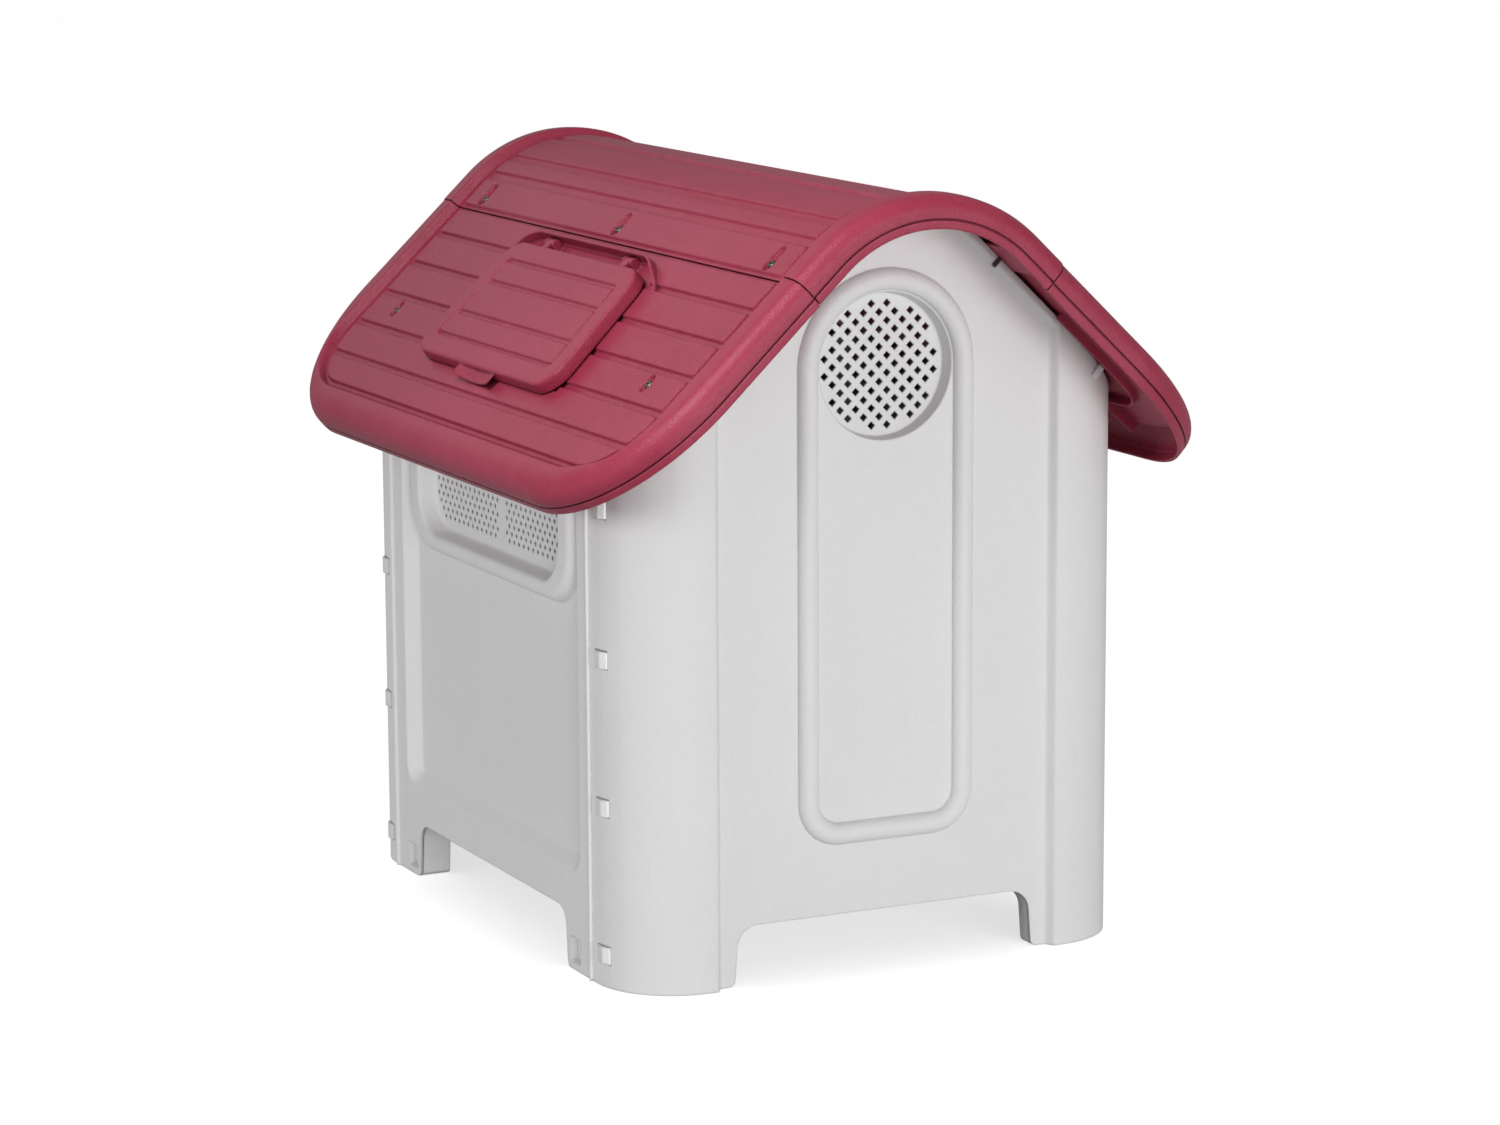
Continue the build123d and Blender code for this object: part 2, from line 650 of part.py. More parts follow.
# built at the +Y end, then mirrored to -Y
with BuildPart() as front_flipped:
    add(gable_body.part)
    with BuildSketch(plane_at_y(gable_panel_y - 1)):
        add(arch_face(door_half + door_frame_width, door_bottom - door_frame_width,
                      30, door_arch_z))
    extrude(amount=-(door_frame_height + 1))
    with BuildSketch(plane_at_y(cut_y)):
        add(arch_face(door_half, door_bottom, 26, door_arch_z))
    extrude(amount=-cut_length, mode=Mode.SUBTRACT)
    fillet(front_flipped.edges()
           .filter_by(lambda e: abs(e.center().Y - gable_panel_y - door_frame_height) < 0.01)
           .filter_by(lambda e: e.length > 20), radius=4.5)

with BuildPart() as front_wall:
    add(front_flipped.part)
    mirror(about=Plane.XZ, mode=Mode.REPLACE)

# ================================================================= side walls
side_top = crest_height - wall_x * slope_fall - wall_top_n / cos_slope - 1.0
edge_y = seam_y - 0.6
blank_x = 190.0            # inner face of the solid form
side_gap = (166.0, 146.0, 9)   # leg gap: half width at ground, at top, corner radius
recess_depth = 11.0
recess_half = 182.0
recess_bottom, recess_top = 96.0, side_top - 16
frame_half, frame_bottom, frame_top, frame_corner = 181.0, 305.0, 446.0, 50.0
grille_half, grille_bottom, grille_top, grille_corner = 150.0, 326.0, 428.0, 34.0
grille_z = (grille_bottom + grille_top) / 2
grille_depth = 16.0        # grille plate below the wall face

# perforation
row_pitch = 6.4
hole_pitch = 10.3
hole_size = 3.5
middle_bar_half = 9.0      # no holes this close to the middle
hole_margin = 5.0          # from hole centre to the grille's rounded edge

# rectangles up each wall seam: centre from wall_x, centre from edge_y, x size, y size
seam_blocks = ((-2.35, -1.6, 7.3, 3.2),    # bead over the seam
               (-5.5, -3.0, 5.0, 6.0),     # block behind the bead
               (-5.5, 10.5, 2.6, 25.0))    # tongue behind the gable wrap
# snap lug section: x from wall_x, y
lug_points = ((-5.0, 230.0), (0.6, 230.0), (3.0, 237.0), (0.4, 241.0), (-5.0, 241.0))
lug_height = 13.0


def grille_holes():
    """(y, z) centres of the staggered holes inside the rounded grille."""
    centres = []
    row = 0
    z = grille_bottom + 5.0
    while z < grille_top - 3.5:
        shift = 0.0 if row % 2 == 0 else hole_pitch / 2
        for k in range(-16, 17):
            y = hole_pitch * k + shift
            if abs(y) < middle_bar_half or abs(y) > grille_half - 5.5:
                continue
            # distances past the centres of the corner roundings
            past_y = max(0.0, abs(y) - (grille_half - grille_corner))
            past_z = max(0.0, abs(z - grille_z)
                         - ((grille_top - grille_bottom) / 2 - grille_corner))
            if math.hypot(past_y, past_z) < grille_corner - hole_margin:
                centres.append((y, z))
        z += row_pitch
        row += 1
    return centres


with BuildPart() as side_wall_hatch_side:
    # outer form
    with BuildSketch(Plane.YZ.offset(blank_x)):
        with Locations((0, side_top / 2)):
            Rectangle(2 * edge_y, side_top)
    extrude(amount=wall_x - blank_x)
    # sunk panel with sloped margins
    with BuildSketch(Plane.YZ.offset(wall_x - recess_depth)):
        with Locations((0, (recess_bottom + recess_top) / 2)):
            RectangleRounded(2 * recess_half, recess_top - recess_bottom, 8)
    extrude(amount=recess_depth + 1, taper=-48, mode=Mode.SUBTRACT)
    # raised frame round the vent
    with BuildSketch(Plane.YZ.offset(wall_x - recess_depth - 1)):
        with Locations((0, (frame_bottom + frame_top) / 2)):
            RectangleRounded(2 * frame_half, frame_top - frame_bottom, frame_corner)
    extrude(amount=recess_depth + 1.0)
    fillet(side_wall_hatch_side.edges()
           .filter_by(lambda e: abs(e.center().X - wall_x) < 0.05)
           .filter_by(lambda e: abs(e.center().Y) < frame_half + 1
                      and frame_bottom - 1 < e.center().Z < frame_top + 1)
           .filter_by(lambda e: e.bounding_box().size.Z < 145 and abs(e.center().Y) < 190),
           radius=9)
    # funnel down to the grille plate
    with BuildSketch(Plane.YZ.offset(wall_x - grille_depth)):
        with Locations((0, grille_z)):
            RectangleRounded(2 * grille_half, grille_top - grille_bottom, grille_corner)
    extrude(amount=20, taper=-14, mode=Mode.SUBTRACT)
    # the sheet is the form less the same form moved inward
    solid_form = side_wall_hatch_side.part
    add(solid_form.moved(Location((-sheet, 0, 0))), mode=Mode.SUBTRACT)
    with BuildSketch(Plane.YZ.offset(100)):
        with Locations((0, 250)):
            Rectangle(800, 800)
    extrude(amount=wall_x - grille_depth - sheet - 100, mode=Mode.SUBTRACT)
    # perforation
    with BuildSketch(Plane.YZ.offset(wall_x - 10)):
        with Locations(*grille_holes()):
            Rectangle(hole_size, hole_size, rotation=45)
    extrude(amount=-20, mode=Mode.SUBTRACT)
    # seam bead, tongue behind the gable wrap and its snap lugs
    for side in (1, -1):
        with BuildSketch():
            for block_x, block_y, size_x, size_y in seam_blocks:
                with Locations((wall_x + block_x, side * (edge_y + block_y))):
                    Rectangle(size_x, size_y)
        extrude(amount=side_top)
        for z in lug_z:
            with BuildSketch(Plane.XY.offset(z - lug_height / 2)):
                with BuildLine():
                    Polyline(*[(wall_x + x, side * y) for x, y in lug_points], close=True)
                make_face()
            extrude(amount=lug_height)
    # legs
    with BuildSketch(Plane.YZ.offset(wall_x - 18)):
        add(leg_gap(*side_gap, grow=sheet))
    extrude(amount=17)
    with BuildSketch():
        Rectangle(ground_size, ground_size)
    extrude(amount=-ground_depth, mode=Mode.SUBTRACT)
    with BuildSketch(Plane.YZ.offset(150)):
        add(leg_gap(*side_gap, grow=0))
    extrude(amount=200, mode=Mode.SUBTRACT)
    # one window through each leg
    with BuildSketch(Plane.YZ.offset(wall_x + 5)):
        with Locations((-182.5, 19), (182.5, 19)):
            Rectangle(14, 23)
    extrude(amount=-14, mode=Mode.SUBTRACT)

with BuildPart() as side_wall_plain_side:
    add(side_wall_hatch_side.part)
    mirror(about=Plane.YZ, mode=Mode.REPLACE)

# ================================================================= floor
floor_z = 60.0             # top of the floor deck
floor_depth = 6.4
floor_half_x, floor_half_y = 228.5, 284.0
floor_corner = 56.0
floor_rib = 2.5
inner_half_x, inner_half_y = floor_half_x - sheet, floor_half_y - sheet

with BuildPart() as floor_panel:
    with BuildSketch(Plane.XY.offset(floor_z - floor_depth)):
        RectangleRounded(2 * floor_half_x, 2 * floor_half_y, floor_corner)
    extrude(amount=floor_depth)
    fillet(edges_at_z(floor_panel, floor_z), radius=2.5)
    with BuildSketch(Plane.XY.offset(floor_z - 7)):
        RectangleRounded(2 * inner_half_x, 2 * inner_half_y, floor_corner - sheet)
    extrude(amount=7 - sheet, mode=Mode.SUBTRACT)
    # ribs under the deck, let 0.5 into the rim
    with BuildSketch(Plane.XY.offset(floor_z - 6.2)):
        with GridLocations(90, 0, 5, 1):
            Rectangle(floor_rib, 2 * inner_half_y)
        with GridLocations(0, 110, 1, 5):
            Rectangle(2 * inner_half_x, floor_rib)
        RectangleRounded(2 * (inner_half_x + 0.5), 2 * (inner_half_y + 0.5),
                         floor_corner - sheet + 0.5, mode=Mode.INTERSECT)
    extrude(amount=4)
    # raised treads on the deck
    with BuildSketch(Plane.XY.offset(floor_z - 0.2)):
        with GridLocations(60, 0, 7, 1):
            SlotOverall(470, 22, rotation=90)
    extrude(amount=1.4)

# ================================================================= screws
screw_tip_n = 25.0
shank_length = screw_tip_n - deck_depth
head_r, head_height = 4.0, 2.4
cross_length, cross_width = 5.0, 1.1
seat_lift = 0.27           # underside of the head above the deck

# one screw along -Z, seat of the head at z = 0
with BuildPart() as one_screw:
    with BuildSketch():
        Circle(head_r)
    extrude(amount=head_height)
    fillet(edges_at_z(one_screw, head_height), radius=1.6)
    with BuildSketch(Plane.XY.offset(0.9)):
        Rectangle(cross_length, cross_width)
        Rectangle(cross_width, cross_length)
    extrude(amount=4, mode=Mode.SUBTRACT)
    with BuildSketch():
        Circle(screw_r)
    extrude(amount=-shank_length)
    chamfer(edges_at_z(one_screw, -shank_length), length=0.8)


def screw_set(deck_n, spots):
    """Screws at the same (s, y) spots of both slopes, on a deck at depth deck_n."""
    with BuildPart() as screws:
        for side in (1, -1):
            seat = slope_plane(deck_n - seat_lift, side)
            for s, y in spots:
                add(one_screw.part.moved(seat.location * Location((s, y, 0))))
    return screws


ridge_cap_screws = screw_set(deck_depth, cap_screw_spots)
roof_panel_screws = screw_set(deck_depth + panel_drop, panel_screw_spots)

# ================================================================= labels, export
pieces = {
    "ridge_cap": ridge_cap,
    "roof_panel_hatch_side": roof_panel_hatch_side,
    "roof_panel_plain_side": roof_panel_plain_side,
    "hatch_lid": hatch_lid,
    "back_wall": back_wall,
    "front_wall": front_wall,
    "side_wall_hatch_side": side_wall_hatch_side,
    "side_wall_plain_side": side_wall_plain_side,
    "floor_panel": floor_panel,
    "ridge_cap_screws": ridge_cap_screws,
    "roof_panel_screws": roof_panel_screws,
}
for name, piece in pieces.items():
    piece.part.label = name
    export_step(piece.part, f"parts/{name}.step")
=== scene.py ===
# Plastic dog kennel: moulded roof, walls and hatch lid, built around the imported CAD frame.
# The scene is in metres, +Z up, ridge along Y, ground at z = 0. The doorway is in the front
# wall (-Y) and the hatch is on the +X roof slope. Piece geometry is worked out in millimetres
# and scaled to metres in piece().
import bmesh
import bpy
import json
import math
import numpy as np
from mathutils import Matrix, Vector
from mathutils.geometry import delaunay_2d_cdt

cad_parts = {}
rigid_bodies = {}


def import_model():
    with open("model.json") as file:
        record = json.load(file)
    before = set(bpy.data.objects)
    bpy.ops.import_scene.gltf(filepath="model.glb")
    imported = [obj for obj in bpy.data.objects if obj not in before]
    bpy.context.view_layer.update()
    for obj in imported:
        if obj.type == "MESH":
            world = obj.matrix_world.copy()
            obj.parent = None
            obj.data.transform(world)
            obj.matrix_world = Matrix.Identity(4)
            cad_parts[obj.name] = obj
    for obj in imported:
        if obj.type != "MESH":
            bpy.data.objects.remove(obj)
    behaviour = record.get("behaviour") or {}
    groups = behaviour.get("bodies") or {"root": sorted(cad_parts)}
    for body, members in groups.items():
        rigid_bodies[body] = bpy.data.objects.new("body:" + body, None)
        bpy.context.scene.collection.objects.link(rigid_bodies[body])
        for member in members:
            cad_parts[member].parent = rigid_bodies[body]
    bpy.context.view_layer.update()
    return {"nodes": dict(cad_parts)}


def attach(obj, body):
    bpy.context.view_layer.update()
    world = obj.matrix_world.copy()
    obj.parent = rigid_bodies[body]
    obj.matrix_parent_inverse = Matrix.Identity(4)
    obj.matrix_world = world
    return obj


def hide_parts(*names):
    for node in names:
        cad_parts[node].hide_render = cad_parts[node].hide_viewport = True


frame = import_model()
scene = bpy.context.scene


# ------------------------------------------------------------------ materials
WHITE = (1, 1, 1, 1)


def srgb(*channels):
    """Linear colour of 8-bit sRGB channels."""
    linear = []
    for c in channels:
        c /= 255.0
        linear.append(c / 12.92 if c <= 0.04045 else ((c + 0.055) / 1.055) ** 2.4)
    return tuple(linear) + (1.0,)


class Net:
    """Places and links the shader nodes of a material or world."""

    def __init__(self, owner):
        owner.use_nodes = True
        self.owner = owner
        self.tree = owner.node_tree
        self.tree.nodes.clear()
        self.count = 0

    def add(self, kind, inputs=None, **props):
        node = self.tree.nodes.new(kind)
        node.location = (200 * (self.count % 8), -220 * (self.count // 8))
        self.count += 1
        for key, value in props.items():
            setattr(node, key, value)
        for key, value in (inputs or {}).items():
            if isinstance(value, bpy.types.NodeSocket):
                self.tree.links.new(value, node.inputs[key])
            else:
                node.inputs[key].default_value = value
        return node

    def math(self, operation, *values, clamp=False):
        inputs = dict(enumerate(values))
        return self.add("ShaderNodeMath", inputs, operation=operation, use_clamp=clamp).outputs[0]

    def multiply(self, value, factor):
        return self.math("MULTIPLY", value, factor)

    def multiply_add(self, value, factor, plus):
        return self.math("MULTIPLY_ADD", value, factor, plus)

    def mix(self, factor, first, second):
        # the colour sockets of a Mix node are inputs 6 and 7 and output 2
        inputs = {0: factor, 6: first, 7: second}
        return self.add("ShaderNodeMix", inputs, data_type="RGBA").outputs[2]

    def noise(self, vector, scale, detail, roughness=0.5):
        inputs = {"Vector": vector, "Scale": scale, "Detail": detail, "Roughness": roughness}
        return self.add("ShaderNodeTexNoise", inputs).outputs[0]

    def ramp(self, value, start, end):
        """Grey ramp between two (position, level) stops."""
        node = self.add("ShaderNodeValToRGB", {0: value})
        stops = node.color_ramp.elements
        while len(stops) > 1:
            stops.remove(stops[-1])
        stops[0].position = start[0]
        stops[0].color = (start[1],) * 3 + (1,)
        stops.new(end[0]).color = (end[1],) * 3 + (1,)
        return node.outputs[0]


def pebble_grain(net, place, scale, streak):
    """Two sizes of pebble broken by noise; returns the grain and the bump height."""
    grain = net.noise(place, scale=scale * 0.6, detail=2.0)
    cells = [net.add("ShaderNodeTexVoronoi",
                     {"Vector": place, "Scale": scale * size, "Randomness": 1.0}, feature=feature)
             for size, feature in ((1, "F1"), (2.3, "SMOOTH_F1"))]
    for cell, amount in zip(cells, (0.6, 0.4)):
        grain = net.multiply_add(cell.outputs["Distance"], factor=amount, plus=grain)
    if streak == 0:
        return grain, grain
    # long soft flow streaks along the ridge direction
    stretched = net.add("ShaderNodeMapping", {"Vector": place, "Scale": (900.0, 14.0, 900.0)})
    flow = net.noise(stretched.outputs[0], scale=1.0, detail=3.0, roughness=0.6)
    return grain, net.multiply_add(flow, factor=streak, plus=grain)


def worn_and_highlit_edge(net, patches, wear_and_highlight):
    """Mask of the patchily paler edges, partly worn and partly a painted highlight, and the
    bevelled normal it is found from.
    """
    bevel = net.add("ShaderNodeBevel", {"Radius": 0.0022}, samples=4).outputs[0]
    geometry = net.add("ShaderNodeNewGeometry")
    dot = net.add("ShaderNodeVectorMath", {0: bevel, 1: geometry.outputs["Normal"]},
                  operation="DOT_PRODUCT")
    edge = net.math("SUBTRACT", 1.0, dot.outputs["Value"], clamp=True)
    edge = net.ramp(edge, start=(0.004, 0.0), end=(0.12, 1.0))
    patchy = net.ramp(patches, start=(0.35, 0.25), end=(0.62, 1.0))
    return net.multiply(net.multiply(edge, patchy), wear_and_highlight), bevel


def moulded(name, base, light, dark, rough, grain_scale, grain_depth, streak=0.0, spec=0.5,
            wear_and_highlight=0.35, mottle=0.5, inside=0.0, painted_crevice_shade=0.5):
    """Injection-moulded plastic: fine grain, faint flow marks, slightly paler edges (partly worn,
    partly painted highlight), painted shade in grooves and on inside skins.
    """
    net = Net(bpy.data.materials.new(name))
    place = net.add("ShaderNodeTexCoord").outputs["Object"]
    grain, height = pebble_grain(net, place, grain_scale, streak)
    # broad colour variation
    broad = net.noise(place, scale=5.5, detail=3.0, roughness=0.55)
    middle = net.noise(place, scale=60.0, detail=4.0, roughness=0.6)
    tone = net.multiply_add(middle, factor=0.35, plus=net.multiply(broad, factor=0.65))
    tone = net.ramp(tone, start=(0.35, 0.0), end=(0.65, 1.0))
    colour = net.mix(net.multiply(tone, mottle), base, light)
    # darker grain valleys
    valley = net.ramp(grain, start=(0.45, 1.0), end=(0.95, 0.0))
    colour = net.mix(net.multiply(valley, factor=0.22), colour, dark)
    edge, bevel = worn_and_highlit_edge(net, middle, wear_and_highlight)
    # painted highlight: edges are lightened, partly worn paler and partly standing in for light
    # caught on the edges
    colour = net.mix(edge, colour, light)
    if inside > 0:                           # painted shade: skins facing the inside of the house are darkened toward grey, standing in for the shade in there
        inner = net.add("ShaderNodeAttribute", attribute_name="inner").outputs["Fac"]
        colour = net.mix(net.multiply(inner, inside), colour, srgb(60, 60, 62))
    # painted shade: grooves and corners are darkened by an ambient-occlusion mask, standing in for
    # the shade that falls there
    openness = net.add("ShaderNodeAmbientOcclusion", {"Distance": 0.006}, samples=6)
    crevice = net.ramp(openness.outputs["AO"], start=(0.25, 1.0), end=(0.72, 0.0))
    shade = net.mix(0.55, dark, (0.0, 0.0, 0.0, 1.0))
    colour = net.mix(net.multiply(crevice, painted_crevice_shade), colour, shade)
    # pale patches are rougher, worn edges smoother
    roughness = net.multiply_add(tone, factor=0.08, plus=rough - 0.04)
    roughness = net.multiply_add(edge, factor=-0.12, plus=roughness)
    bump = net.add("ShaderNodeBump", {"Strength": 1.0, "Distance": grain_depth,
                                      "Height": height, "Normal": bevel})
    surface = net.add("ShaderNodeBsdfPrincipled", {
        "Base Color": colour, "Roughness": roughness, "Normal": bump.outputs[0],
        "Specular IOR Level": spec, "Sheen Weight": 0.0, "Sheen Roughness": 0.4})
    net.add("ShaderNodeOutputMaterial", {"Surface": surface.outputs[0]})
    return net.owner


def steel(name):
    net = Net(bpy.data.materials.new(name))
    place = net.add("ShaderNodeTexCoord").outputs["Object"]
    fine = net.noise(place, scale=900.0, detail=3.0)
    broad = net.noise(place, scale=150.0, detail=3.0)
    # painted shade: the steel colours are kept dark so the screw heads read as shaded deep in
    # their pockets
    colour = net.mix(broad, srgb(84, 83, 82), srgb(140, 139, 136))
    roughness = net.multiply_add(broad, factor=0.25, plus=0.22)
    bump = net.add("ShaderNodeBump", {"Strength": 0.4, "Distance": 0.0002, "Height": fine})
    surface = net.add("ShaderNodeBsdfPrincipled", {
        "Base Color": colour, "Metallic": 1.0, "Roughness": roughness, "Normal": bump.outputs[0]})
    net.add("ShaderNodeOutputMaterial", {"Surface": surface.outputs[0]})
    return net.owner


# edge lightening in these materials is partly a painted highlight; the groove darkening and the
# inside-skin darkening are painted shade
ROOF = moulded("roof_plastic", base=srgb(160, 46, 72), light=srgb(192, 88, 112),
               dark=srgb(112, 20, 42), rough=0.4, grain_scale=620.0, grain_depth=0.00026,
               streak=1.1, spec=0.36, wear_and_highlight=0.6, mottle=0.3, painted_crevice_shade=0.8)
WALL = moulded("wall_plastic", base=srgb(218, 218, 219), light=srgb(228, 228, 228),
               dark=srgb(190, 190, 191), rough=0.55, grain_scale=700.0, grain_depth=0.00013,
               spec=0.35, wear_and_highlight=0.2, mottle=0.3, inside=0.9, painted_crevice_shade=0.3)
FLOOR = moulded("floor_plastic", base=srgb(96, 98, 100), light=srgb(120, 122, 124),
                dark=srgb(66, 68, 70), rough=0.6, grain_scale=600.0, grain_depth=0.0002)
STEEL = steel("screw_steel")

# the first word found in a CAD piece's name picks its material
for node_name, ob in frame["nodes"].items():
    choices = (("screws", STEEL), ("wall", WALL), ("floor", FLOOR), ("", ROOF))
    ob.data.materials.clear()
    ob.data.materials.append(next(mat for word, mat in choices if word in node_name))


# ------------------------------------------------------------------ roof coordinates
# A slope point is (down, y, depth): distance down the slope from the unrounded apex, place
# along the ridge, and depth under the crest surface.
FALL = 0.948                                 # roof fall per horizontal run
APEX_Z = 709.9                               # height where the two slopes would meet
RIDGE_R = 142.5                              # ridge rounding
SHEET = 3.0                                  # wall thickness of the mouldings
PANEL_DROP = 0.8                             # lower roof panels lie this far under the crest
ROOF_HALF = 375.0                            # half length along the ridge
EAVE = 419.0
COS = 1 / math.sqrt(1 + FALL * FALL)
SIN = FALL * COS
RIDGE_CZ = APEX_Z - RIDGE_R / COS            # height of the rounding's centre
TANGENT = RIDGE_R * FALL                     # distance down the slope where rounding ends
ARC_END = RIDGE_R * math.atan(FALL)          # the same place as arc length from the ridge


def to_arc(down):
    return ARC_END + down - TANGENT


def slope_pos(down, y, depth, side=1):
    return np.stack([side * (down * COS - depth * SIN), y, APEX_Z - down * SIN - depth * COS], 1)


def roof_pos(arc, y, depth):
    """Point of the rounded roof at a signed arc length from the ridge."""
    side, arc = np.where(arc < 0, -1.0, 1.0), np.abs(arc)
    radius = RIDGE_R - depth
    turn = np.minimum(arc, ARC_END) / RIDGE_R
    down = TANGENT + arc - ARC_END
    rounded = arc <= ARC_END
    x = np.where(rounded, radius * np.sin(turn), down * COS - depth * SIN)
    z = np.where(rounded, RIDGE_CZ + radius * np.cos(turn), APEX_Z - down * SIN - depth * COS)
    return np.stack([side * x, y, z], 1)


def roof_z(x, depth):
    """Height of the surface at this depth under the crest."""
    x = np.abs(x)
    radius = RIDGE_R - depth
    return np.where(x <= radius * SIN,
                    RIDGE_CZ + np.sqrt(np.maximum(radius * radius - x * x, 0)),
                    APEX_Z - x * FALL - depth / COS)


# ------------------------------------------------------------------ flat outlines
def smooth(x):
    x = np.clip(x, 0, 1)
    return x * x * (3 - 2 * x)


def fall(dist, half, centre=0.0):
    """1 inside an outline, 0 outside, rolling over a band of this half width."""
    return 1 - smooth((dist - centre + half) / (2 * half))


def band(half, centre=0.0):
    """Ring offsets that carry the roll made by fall()."""
    return [centre - half, centre - 0.62 * half, centre - 0.25 * half,
            centre + 0.25 * half, centre + 0.62 * half, centre + half]


def doubled(offsets, shift=SHEET):
    """Ring offsets for the outside skin and, shifted, for the inside skin."""
    return offsets + [offset + shift for offset in offsets]


def covered(shapes, points, half, centre=0.0):
    cover = np.zeros(len(points))
    for shape in shapes:
        cover = np.maximum(cover, fall(shape.dist(points), half, centre))
    return cover


class Outline:
    def dist(self, points):
        return self.measure(points)[0]


class Rounded(Outline):
    """Convex outline: a core polygon (counter-clockwise) grown by a radius."""

    def __init__(self, core, radius, step=7.5):
        self.core = np.array(core, float).reshape(-1, 2)
        self.radius, self.step = radius, math.radians(step)

    def measure(self, points):
        """Signed distance and outward direction at each point."""
        core, count = self.core, len(self.core)
        if count == 1:
            away = points - core[0]
            length = np.maximum(np.linalg.norm(away, axis=1), 1e-9)
            return length - self.radius, away / length[:, None]
        best, best_away = np.full(len(points), 1e18), np.zeros_like(points)
        inside = np.ones(len(points), bool)
        for i in range(count):
            start = core[i]
            edge = core[(i + 1) % count] - start
            t = np.clip(((points - start) @ edge) / (edge @ edge), 0, 1)
            away = points - (start + t[:, None] * edge)
            length = np.linalg.norm(away, axis=1)
            nearer = length < best
            best[nearer], best_away[nearer] = length[nearer], away[nearer]
            inside &= (edge[0] * (points[:, 1] - start[1])
                       - edge[1] * (points[:, 0] - start[0])) >= 0
        if count == 2:
            inside[:] = False
        outward = best_away / np.maximum(best, 1e-9)[:, None]
        outward[inside] *= -1
        return np.where(inside, -best, best) - self.radius, outward

    def ring(self, offset):
        core, count, radius = self.core, len(self.core), self.radius + offset

        def on_circle(centre, angle):
            return (centre[0] + radius * math.cos(angle), centre[1] + radius * math.sin(angle))

        if count == 1:
            steps = int(round(2 * math.pi / self.step))
            return [on_circle(core[0], 2 * math.pi * j / steps) for j in range(steps)]
        normals = []
        for i in range(count):
            edge = core[(i + 1) % count] - core[i]
            edge = edge / np.linalg.norm(edge)
            normals.append(np.array([edge[1], -edge[0]]))
        ring = []
        for i in range(count):
            before, after = normals[i - 1], normals[i]
            if radius > 1e-6:
                start = math.atan2(before[1], before[0])
                end = math.atan2(after[1], after[0])
                while end < start - 1e-9:
                    end += 2 * math.pi
                steps = max(1, int(math.ceil((end - start) / self.step - 1e-6)))
                ring += [on_circle(core[i], start + (end - start) * j / steps)
                         for j in range(steps + 1)]
            else:
                ring.append(tuple(core[i] + radius * (before + after) / (1 + before @ after)))
        return ring


class Planes(Outline):
    """Convex outline held as half planes (nx, ny, limit): inside where n.p < limit."""

    def __init__(self, planes):
        planes = np.array(planes, float)
        self.normals, self.limits = planes[:, :2], planes[:, 2]

    def measure(self, points):
        dists = points @ self.normals.T - self.limits
        nearest = dists.argmax(1)
        return dists[np.arange(len(points)), nearest], self.normals[nearest]

    def ring(self, offset):
        poly = [(-2000.0, -2000.0), (2000.0, -2000.0), (2000.0, 2000.0), (-2000.0, 2000.0)]
        for (nx, ny), limit in zip(self.normals, self.limits + offset):
            clipped = []
            for i, p in enumerate(poly):
                q = poly[(i + 1) % len(poly)]
                over_p = nx * p[0] + ny * p[1] - limit
                over_q = nx * q[0] + ny * q[1] - limit
                if over_p <= 0:
                    clipped.append(p)
                if (over_p < 0 < over_q) or (over_q < 0 < over_p):
                    t = over_p / (over_p - over_q)
                    clipped.append((p[0] + t * (q[0] - p[0]), p[1] + t * (q[1] - p[1])))
            poly = clipped
        ring = []
        for p in poly:
            if not ring or math.hypot(p[0] - ring[-1][0], p[1] - ring[-1][1]) > 1e-4:
                ring.append(p)
        if math.hypot(ring[0][0] - ring[-1][0], ring[0][1] - ring[-1][1]) < 1e-4:
            ring.pop()
        return ring


def rect(x0, x1, y0, y1, radius, step=15):
    return Rounded([(x0 + radius, y0 + radius), (x1 - radius, y0 + radius),
                    (x1 - radius, y1 - radius), (x0 + radius, y1 - radius)], radius, step)


def arc_planes(cx, cy, radius, start, end, steps):
    """Half planes touching a circle between two directions, in degrees."""
    planes = []
    for i in range(steps + 1):
        angle = math.radians(start + (end - start) * i / steps)
        nx, ny = math.cos(angle), math.sin(angle)
        planes.append((nx, ny, nx * cx + ny * cy + radius))
    return planes


def arch(half, bottom, foot, centre_z, steps=44, foot_steps=10):
    """Round-headed outline with rounded feet."""
    return Planes(
        arc_planes(0, centre_z, half, 0, 180, steps)
        + arc_planes(-half + foot, bottom + foot, foot, 180, 270, foot_steps)
        + arc_planes(half - foot, bottom + foot, foot, 270, 360, foot_steps))


def in_polygon(points, poly):
    x, y = points[:, 0], points[:, 1]
    odd = np.zeros(len(points), bool)
    for i, (x0, y0) in enumerate(poly):
        x1, y1 = poly[(i + 1) % len(poly)]
        if y0 != y1:
            odd ^= ((y0 > y) != (y1 > y)) & (x < (x1 - x0) * (y - y0) / (y1 - y0) + x0)
    return odd


def round_corner(before, corner, after, radius, steps):
    before, corner, after = (np.array(p, float) for p in (before, corner, after))
    to_before = (before - corner) / np.linalg.norm(before - corner)
    to_after = (after - corner) / np.linalg.norm(after - corner)
    half = math.acos(max(-1, min(1, to_before @ to_after))) / 2
    cut = radius / math.tan(half)
    middle = to_before + to_after
    centre = corner + middle / np.linalg.norm(middle) * (radius / math.sin(half))
    first, last = corner + to_before * cut - centre, corner + to_after * cut - centre
    start, end = math.atan2(first[1], first[0]), math.atan2(last[1], last[0])
    turn = (end - start + math.pi) % (2 * math.pi) - math.pi
    return [(centre[0] + radius * math.cos(start + turn * i / steps),
             centre[1] + radius * math.sin(start + turn * i / steps)) for i in range(steps + 1)]


